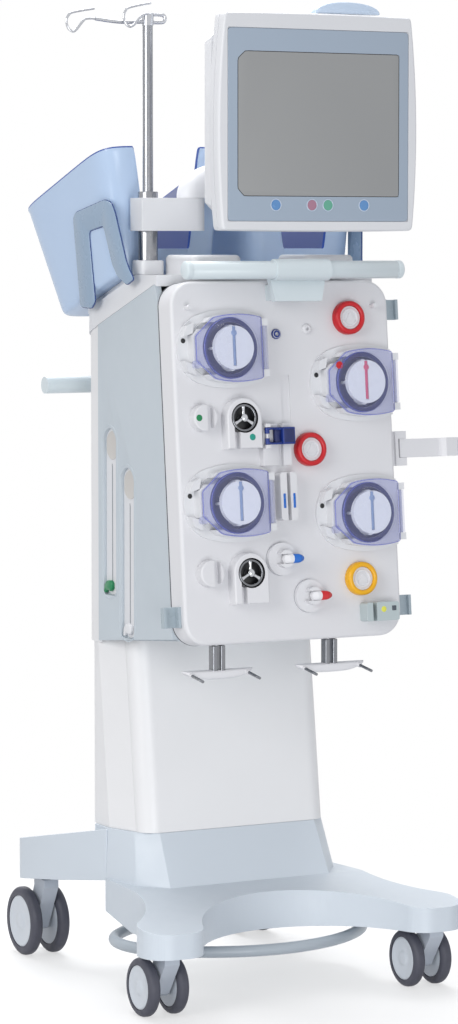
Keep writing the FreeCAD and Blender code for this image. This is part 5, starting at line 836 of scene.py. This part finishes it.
# The detector's lid: a square cover, two arms that reach to the hinge barrel and a darker bridge between them.
def makeLid():
    body, slotName = nodes["detector_lid"]["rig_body"], slotOf["detector_lid"]
    x, up = lid["x"], lid["up"]
    plates = (("cover", rectangle(0.004, -0.0145, 0.0285, 0.0145), 120, 0.0148, 0.0286, "lidBlue", 0.0018),
              ("pane", rectangle(0.0065, -0.0118, 0.026, 0.0118), 120, 0.0280, 0.0290, "lidNavy", 0.0006),
              ("bridge", rectangle(-0.008, -0.0118, 0.0044, 0.0118), 100, 0.0152, 0.0232, "lidNavy", 0.001))
    made = {part: panelBlock(f"detector_lid_{part}", mouldedOutline(corners, 0.0006, count), x, up, low, high, finish,
                             rim, body, slotName) for part, corners, count, low, high, finish, rim in plates}
    barrel = [(0, 0.0040), (0.0040, 0.0040), (0.0040, 0.0143), (0.0034, 0.0146), (0, 0.0146)]
    for name, way in (("upper", 1), ("lower", -1)):
        corners = np.array([(-0.0225, 0.0092), (-0.015, 0.0108), (0.0045, 0.0098), (0.0045, 0.0145),
                            (-0.0225, 0.0145)]) * [1, way]
        panelBlock(f"detector_lid_arm_{name}", mouldedOutline(corners[::way], 0.0005, 120), x, up, 0.0156, 0.0262,
                   "lidBlue", 0.0012, body, slotName)
        grid = turned(barrel, onPanel(x + lid["hinge"], up, lid["hingeOut"]), rising * way, across, 40)
        skin(f"detector_lid_barrel_{name}", grid, "lidBlue", body, slotName, ends="pole")
    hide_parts("detector_lid")


makeLid()
hooks = {"beams": {"left": -0.140, "right": 0.078}, "half": 0.068, "tall": 0.008, "deep": 0.011, "y": -0.262,
         "foot": 0.578, "posts": 0.0074, "postTop": 0.619, "pins": 0.054, "pinFoot": (-0.273, 0.5716),
         "pinTilt": math.radians(98)}


# Bag hooks: a beam whose height follows (1 - |u|^3.2)^0.8, twin steel posts and grooved steel pins.
def makeHooks():
    slotName = slotOf["bag_hooks"]
    share = np.linspace(-1, 1, 41)[:, None]
    tall = hooks["tall"] * (1 - np.abs(share) ** 3.2) ** 0.8
    deep = hooks["deep"] * (1 - np.abs(share) ** 6) ** 0.5
    ring = superOutline(1.0, 1.0, 3.2, 48)
    pin = [(0, -0.002), (0.0025, -0.002), (0.0025, 0.0330), (0.0018, 0.0333), (0.0018, 0.0344), (0.0025, 0.0347),
           (0.0025, 0.0372), (0.0018, 0.0375), (0.0018, 0.0386), (0.0025, 0.0389), (0.0025, 0.0414),
           (0.0019, 0.0419), (0, 0.0419)]
    collar = [(0.0026, -0.003), (0.0042, -0.003), (0.0042, 0.0022), (0.0036, 0.0030), (0.0026, 0.0030)]
    forward = np.array([0, -math.sin(hooks["pinTilt"]), math.cos(hooks["pinTilt"])])
    box = mouldedOutline(rectangle(-0.0042, -0.0085, 0.0042, 0.0085), 0.0008, 64)
    top = hooks["postTop"]
    post, level = rings(box, [(0.0, 0.574), (0.0, top - 0.0005), (0.0004, top)])
    for word, x in hooks["beams"].items():
        grid = points(x + hooks["half"] * share, hooks["y"] + deep * ring[:, 0],
                      hooks["foot"] - tall + tall * ring[:, 1])
        beam = skin(f"bag_beam_{word}", grid, "panelWhite", "stand", slotName, ends="pole", crease=60.0)
        for number, way in enumerate((-1, 1)):
            grid = points(x + way * hooks["posts"] + post[..., 0], hooks["y"] + post[..., 1], level)
            skin(f"bag_post_{word}_{number}", grid, "dullSteel", "stand", slotName)
            foot = np.array([x + way * hooks["pins"], *hooks["pinFoot"]])
            for part, profile, finish, ends in (("pin", pin, "dullSteel", "pole"),
                                                ("collar", collar, "panelWhite", "ring")):
                skin(f"bag_{part}_{word}_{number}", turned(profile, foot, forward, across, 32), finish, "stand",
                     slotName, ends=ends)
    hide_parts("bag_hooks")


makeHooks()

# Small plates on the panel: half width, half height, softness and points of the outline, then x, up, low, high,
# finish and rim.
plates = {
    "detector_latch": (0.0042, 0.0042, 0.0005, 60, 0.1815, 0.047, 0.0255, 0.0268, "seamGrey", 0.0006),
    # The black plate left of the detector's dot is painted shade of its slot.
    "detector_groove": (0.0039, 0.0158, 0.0003, 60, 0.144, 0.042, 0.0069, 0.0078, "blackPlastic", 0.0003),
    "sensor_eye": (0.0033, 0.0085, 0.0003, 60, -0.012, 0.2385, 0.0049, 0.0064, "blackPlastic", 0.0004),
    "sensor_lip_left": (0.0021, 0.0125, 0.0008, 80, -0.0215, 0.2385, 0.0212, 0.0232, "leverBlue", 0.0007),
    "sensor_lip_right": (0.0021, 0.0125, 0.0008, 80, -0.0025, 0.2385, 0.0212, 0.0232, "leverBlue", 0.0007),
}
for name, (wide, tall, soft, count, *rest) in plates.items():
    panelBlock(name, mouldedOutline(rectangle(-wide, -tall, wide, tall), soft, count), *rest)

# The green strip on the front of the left scale's head.
strip = mouldedOutline(rectangle(-0.036, 1.2545, 0.036, 1.2640), 0.0008, 120)
flat, height = rings(strip, [(0.0, -0.001), (0.0, 0.0006), (0.0005, 0.0010)])
skin("scale_left_strip", points(-0.110 + flat[..., 0], -0.210 - height, flat[..., 1]), "clipGreen", "stand",
     slotOf["scale_heads"])

dot("dial_upper_dot", -0.0789, 0.3481, 0.0241, 0.0056, "dotTeal")
dot("guide_upper_dot", -0.1768, 0.3829, 0.0204, 0.0056, "dotGreen", "upper_guide")
dot("detector_dot", 0.1611, 0.0458, 0.0260, 0.0050, "dotYellow")
collar = [(0.0031, 0.0009), (0.0031, 0.0052), (0.0060, 0.0053), (0.0064, 0.0046), (0.0086, 0.0030), (0.0088, 0.0009)]
panelTurned("socket_left_collar", collar, -0.013, 0.523, "lidBlue", ends="ring")
panelTurned("socket_right_collar", collar, 0.047, 0.531, "panelWhite", ends="ring")
print("panel details made")

tray = {"side": 0.134, "front": -0.070, "low": 1.248, "tilt": math.radians(18.5), "tall": 0.206, "wall": 0.0035,
        "half": (0.096, 0.124), "near": (0.0, -0.062), "far": (0.262, 0.294), "scoop": 0.168}


# Tray points: a share of the height picks the width and depth, then the tray leans back about X.
def trayWorld(side, x, y, z):
    c, s = math.cos(tray["tilt"]), math.sin(tray["tilt"])
    return points(side * tray["side"] + x, tray["front"] + y * c + z * s, tray["low"] - y * s + z * c)


# A size that grows evenly with height from a pair's first value to its second.
def trayShare(share, pair):
    return pair[0] + (pair[1] - pair[0]) * share


# Points of the YZ plane laid on a tray's slanting outer wall and lifted off it by an offset.
def onTrayWall(side, flat, offset):
    c, s = math.cos(tray["tilt"]), math.sin(tray["tilt"])
    y, z = flat[..., 0] - tray["front"], flat[..., 1] - tray["low"]
    along, up = y * c - z * s, y * s + z * c
    return trayWorld(side, side * (trayShare(up / tray["tall"], tray["half"]) + offset), along, up)


# A tray: superellipse rings that grow with height, a scooped front whose dip follows a smooth step, a rolled rim.
# Each step holds an inset, a level and whether the level is a share of the height.
def makeTray(side, word):
    unit, _ = evenly(superOutline(1.0, 1.0, 7.0, 720), 480)
    x, y = unit.T
    frontness = np.clip((-y - 0.55) / 0.4, 0, 1)
    inside = np.clip((0.52 - np.abs(x)) / 0.13, 0, 1)
    dip = (frontness ** 2 * (3 - 2 * frontness)) * (inside ** 2 * (3 - 2 * inside))
    wall = tray["wall"]
    steps = [(0.012, 0.0, 0), (0.004, 0.0006, 0), (0.001, 0.004, 0), (0, 0.012, 0), (0, 0.35, 1), (0, 0.7, 1),
             (0, 0.96, 1), (-0.0012, 0.988, 1), (-0.0006, 1.0, 1), (wall - 0.0004, 1.0, 1), (wall, 0.988, 1),
             (wall, 0.7, 1), (wall, 0.35, 1), (wall, 0.012, 0), (wall + 0.002, 0.0045, 0), (wall + 0.01, 0.0036, 0)]
    inset, level, scaled = np.array(steps).T[..., None]
    z = level * np.where(scaled, tray["tall"] - tray["scoop"] * dip, 1.0)
    share = z / tray["tall"]
    half = trayShare(share, tray["half"]) - inset
    near, far = trayShare(share, tray["near"]) + inset, trayShare(share, tray["far"]) - inset
    grid = trayWorld(side, half * x, (near + far) / 2 + (far - near) / 2 * y, z)
    # The rows inside the rim take the darker violet-blue: painted shade on the tray's inner walls.
    edge = np.repeat([0, 1, 2], [7, 3, 5])
    shell = skin(f"tray_{word}_shell", grid, ["trayBlue", "trayEdge", "trayInsidePaintedShade"], "stand", "tray_clear",
                 bands=edge, crease=50.0)
    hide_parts(f"tray_{word}")


# The carrying band on a tray's outer wall: an upturned U laid on the slanting wall, with a dark line round it that is
# painted shade at the band's raised edge.
def makeTrayBand(side, word):
    corners = [(0.078, 1.186), (0.066, 1.340), (0.056, 1.350), (-0.056, 1.371), (-0.076, 1.366), (-0.085, 1.350),
               (-0.104, 1.268), (-0.112, 1.252), (-0.124, 1.236), (-0.098, 1.226), (-0.070, 1.240), (-0.056, 1.262),
               (-0.043, 1.318), (-0.040, 1.327), (0.014, 1.318), (0.017, 1.308), (0.024, 1.196), (0.040, 1.184)]
    shape = mouldedOutline(corners, 0.0035, 240)
    band = rings(shape, [(0.0, -0.001), (0.0, 0.0022), (0.0006, 0.0032), (0.0018, 0.0037)])
    skin(f"tray_{word}_band", onTrayWall(side, *band), "trayBand", "stand", "tray_clear")
    line = rings(shape, [(-0.0012, -0.0005), (-0.0012, 0.0010), (0.0004, 0.0014), (0.0004, -0.0005)])
    skin(f"tray_{word}_band_edge", onTrayWall(side, *line), "trayInk", "stand", "tray_clear", ends="ring")


channels = {"upper": {"y": 0.005, "low": 0.684, "high": 0.976, "clipShift": 0.006, "clip": "clipGreen"},
            "lower": {"y": -0.064, "low": 0.615, "high": 0.911, "clipShift": 0.0, "clip": "whiteShell"}}


# Outline of a side channel in the YZ plane: an arched head, straight sides and a round foot.
def channelOutline(y, low, high, grow):
    half, arch = 0.025 + grow, 0.020 + grow * 0.5
    top, foot = high + grow, low - grow
    head = bowed((half, top - arch), (-half, top - arch), arch, 24)
    base = bowed((-half, foot + 0.016), (half, foot + 0.016), 0.016, 24)
    return mouldedOutline(np.vstack([head, base]) + [y, 0], 0.0008, 160)


# Both side channels: a white liner, the raised contour round it, a dark grey strip in its middle that is painted
# shade of the rail's groove, and a clip on the rail.
def makeChannel(side, label, channel):
    y, low, high = channel["y"], channel["low"], channel["high"]
    window = high - 0.062
    slit = mouldedOutline(rectangle(-0.0009, low + 0.012, 0.0009, window), 0.0003, 64) + [y, 0]
    clip = np.array([(-0.013, 0.007), (-0.013, -0.003), (-0.008, -0.008), (0.008, -0.007), (0.014, -0.013),
                     (0.018, -0.011), (0.015, 0.003), (0.006, 0.010), (-0.006, 0.011)])
    layers = {
        "liner": (channelOutline(y, low, high, -0.0006), [(0, 0.0076), (0, 0.0064), (0.0004, 0.0061)], "whiteShell"),
        "contour": (channelOutline(y, low, high, 0.0055), [(-0.0011, 0.0006), (-0.0004, -0.0006), (0.0004, -0.0006),
                                                           (0.0011, 0.0006)], "blueGreyShell"),
        # The rail is a raised dark grey strip: painted shade of the groove.
        "rail": (slit, [(0, 0.0066), (0, 0.0055), (0.0003, 0.0052)], "railGrey"),
        # The sunk window is painted grey: painted shade inside the pocket.
        "window": (channelOutline(y, window + 0.004, high - 0.002, -0.003), [(0, 0.0066), (0, 0.0057),
                                                                            (0.0006, 0.0052), (0.003, 0.0058)],
                   "windowShade"),
        "clip": (mouldedOutline(clip + [y + channel["clipShift"], low + 0.015], 0.0016, 120),
                 [(0.0008, 0.0068), (0, 0.0058), (0, 0.0012), (0.0012, -0.0002), (0.0032, -0.0010)], channel["clip"]),
    }
    for part, (shape, steps, finish) in layers.items():
        flat, depth = rings(shape, steps)
        skin(f"{label}_{part}", points(side * (panel["half"] - depth), flat[..., 0], flat[..., 1]), finish, "stand",
             "grey_blue", ends="ring" if part == "contour" else "cap")


for side, word in ((-1, "left"), (1, "right")):
    makeTray(side, word)
    makeTrayBand(side, word)
print("trays made")
for side, word in ((-1, "left"), (1, "right")):
    for name, channel in channels.items():
        makeChannel(side, f"side_{word}_{name}", channel)
print("side channels made")

view = {"place": (-2.891, -5.4788, 1.299), "turn": 28.0, "down": 4.4, "lens": 123.37}
turn, down = math.radians(view["turn"]), math.radians(view["down"])
looking = Vector((math.sin(turn) * math.cos(down), math.cos(turn) * math.cos(down), -math.sin(down)))
camera = bpy.data.objects.new("camera", bpy.data.cameras.new("camera"))
camera.data.sensor_width = 36.0
camera.data.lens = view["lens"]
camera.location = view["place"]
camera.rotation_euler = looking.to_track_quat("-Z", "Y").to_euler()
bpy.context.scene.collection.objects.link(camera)
bpy.context.scene.camera = camera

lamps = {
    "keyLeft": {"place": (-4.3, -1.9, 2.4), "size": 2.8, "power": 98.0, "tint": (1.0, 0.99, 0.97)},
    "fillFront": {"place": (-0.7, -3.1, 0.35), "size": 1.6, "power": 33.0, "tint": (0.97, 0.985, 1.0)},
    "above": {"place": (0.2, 0.9, 4.2), "size": 3.0, "power": 150.0, "tint": (1.0, 1.0, 1.0)},
    "behind": {"place": (0.8, 3.6, 2.4), "size": 2.6, "power": 36.0, "tint": (0.97, 0.985, 1.0)},
}
middle = Vector((0, 0, 0.85))  # the lamps look here
for name, source in lamps.items():
    light = bpy.data.lights.new(name, "AREA")
    light.shape = "DISK"
    light.size = source["size"]
    light.energy = source["power"]
    light.color = source["tint"]
    holder = bpy.data.objects.new(name, light)
    holder.location = source["place"]
    holder.rotation_euler = (middle - Vector(source["place"])).to_track_quat("-Z", "Y").to_euler()
    bpy.context.scene.collection.objects.link(holder)

# The world: a soft pale light, which the camera, glass and metal see as white.
bpy.context.scene.view_settings.view_transform = "Standard"
world = bpy.data.worlds.new("studio")
bpy.context.scene.world = world
world.use_nodes = True
sky = world.node_tree
sky.nodes.clear()
rays = sky.nodes.new("ShaderNodeLightPath")
seen = rays.outputs["Is Camera Ray"]
for kind in ("Is Transmission Ray", "Is Glossy Ray"):
    either = sky.nodes.new("ShaderNodeMath")
    either.operation = "MAXIMUM"
    sky.links.new(seen, either.inputs[0])
    sky.links.new(rays.outputs[kind], either.inputs[1])
    seen = either.outputs[0]
soft = setSockets(sky.nodes.new("ShaderNodeBackground"), {"Color": (0.93, 0.95, 1.0, 1.0), "Strength": 0.5})
white = setSockets(sky.nodes.new("ShaderNodeBackground"), {"Color": (1.0, 1.0, 1.0, 1.0)})
chosen = sky.nodes.new("ShaderNodeMixShader")
sky.links.new(seen, chosen.inputs[0])
sky.links.new(soft.outputs[0], chosen.inputs[1])
sky.links.new(white.outputs[0], chosen.inputs[2])
output = sky.nodes.new("ShaderNodeOutputWorld")
sky.links.new(chosen.outputs[0], output.inputs["Surface"])

ground = {"radius": 6.0, "dark": (0.93, 0.93, 0.94, 1), "light": (0.96, 0.96, 0.97, 1), "fade": (0.55, 1.3),
          "opacity": 0.42}


# The floor is a disc whose colour fades into the white surroundings with distance from its middle.
def pourFloor():
    angle = fullTurn(96)
    rim = points(ground["radius"] * np.cos(angle), ground["radius"] * np.sin(angle), 0.0)
    mesh = bpy.data.meshes.new("floor")
    mesh.from_pydata(rim.tolist(), [], [list(range(len(rim)))])
    mat, tree, links, shader = newFinish("floorPaint")
    cloud = noiseOn(tree, links, 3.0, 4.0)
    links.new(twoTones(tree, links, cloud, ground["dark"], ground["light"]), shader.inputs["Base Color"])
    shader.inputs["Roughness"].default_value = 0.6
    coord = tree.new("ShaderNodeTexCoord")
    far = tree.new("ShaderNodeVectorMath")
    far.operation = "LENGTH"
    links.new(coord.outputs["Object"], far.inputs[0])
    start, end = ground["fade"]
    fade = setSockets(tree.new("ShaderNodeMapRange"),
                      {"From Min": start, "From Max": end, "To Min": ground["opacity"], "To Max": 0.0})
    fade.interpolation_type = "SMOOTHSTEP"
    links.new(far.outputs["Value"], fade.inputs["Value"])
    links.new(fade.outputs["Result"], shader.inputs["Alpha"])
    mesh.materials.append(mat)
    floor = bpy.data.objects.new("floor", mesh)
    bpy.context.scene.collection.objects.link(floor)


pourFloor()
print("camera, lights and floor placed")
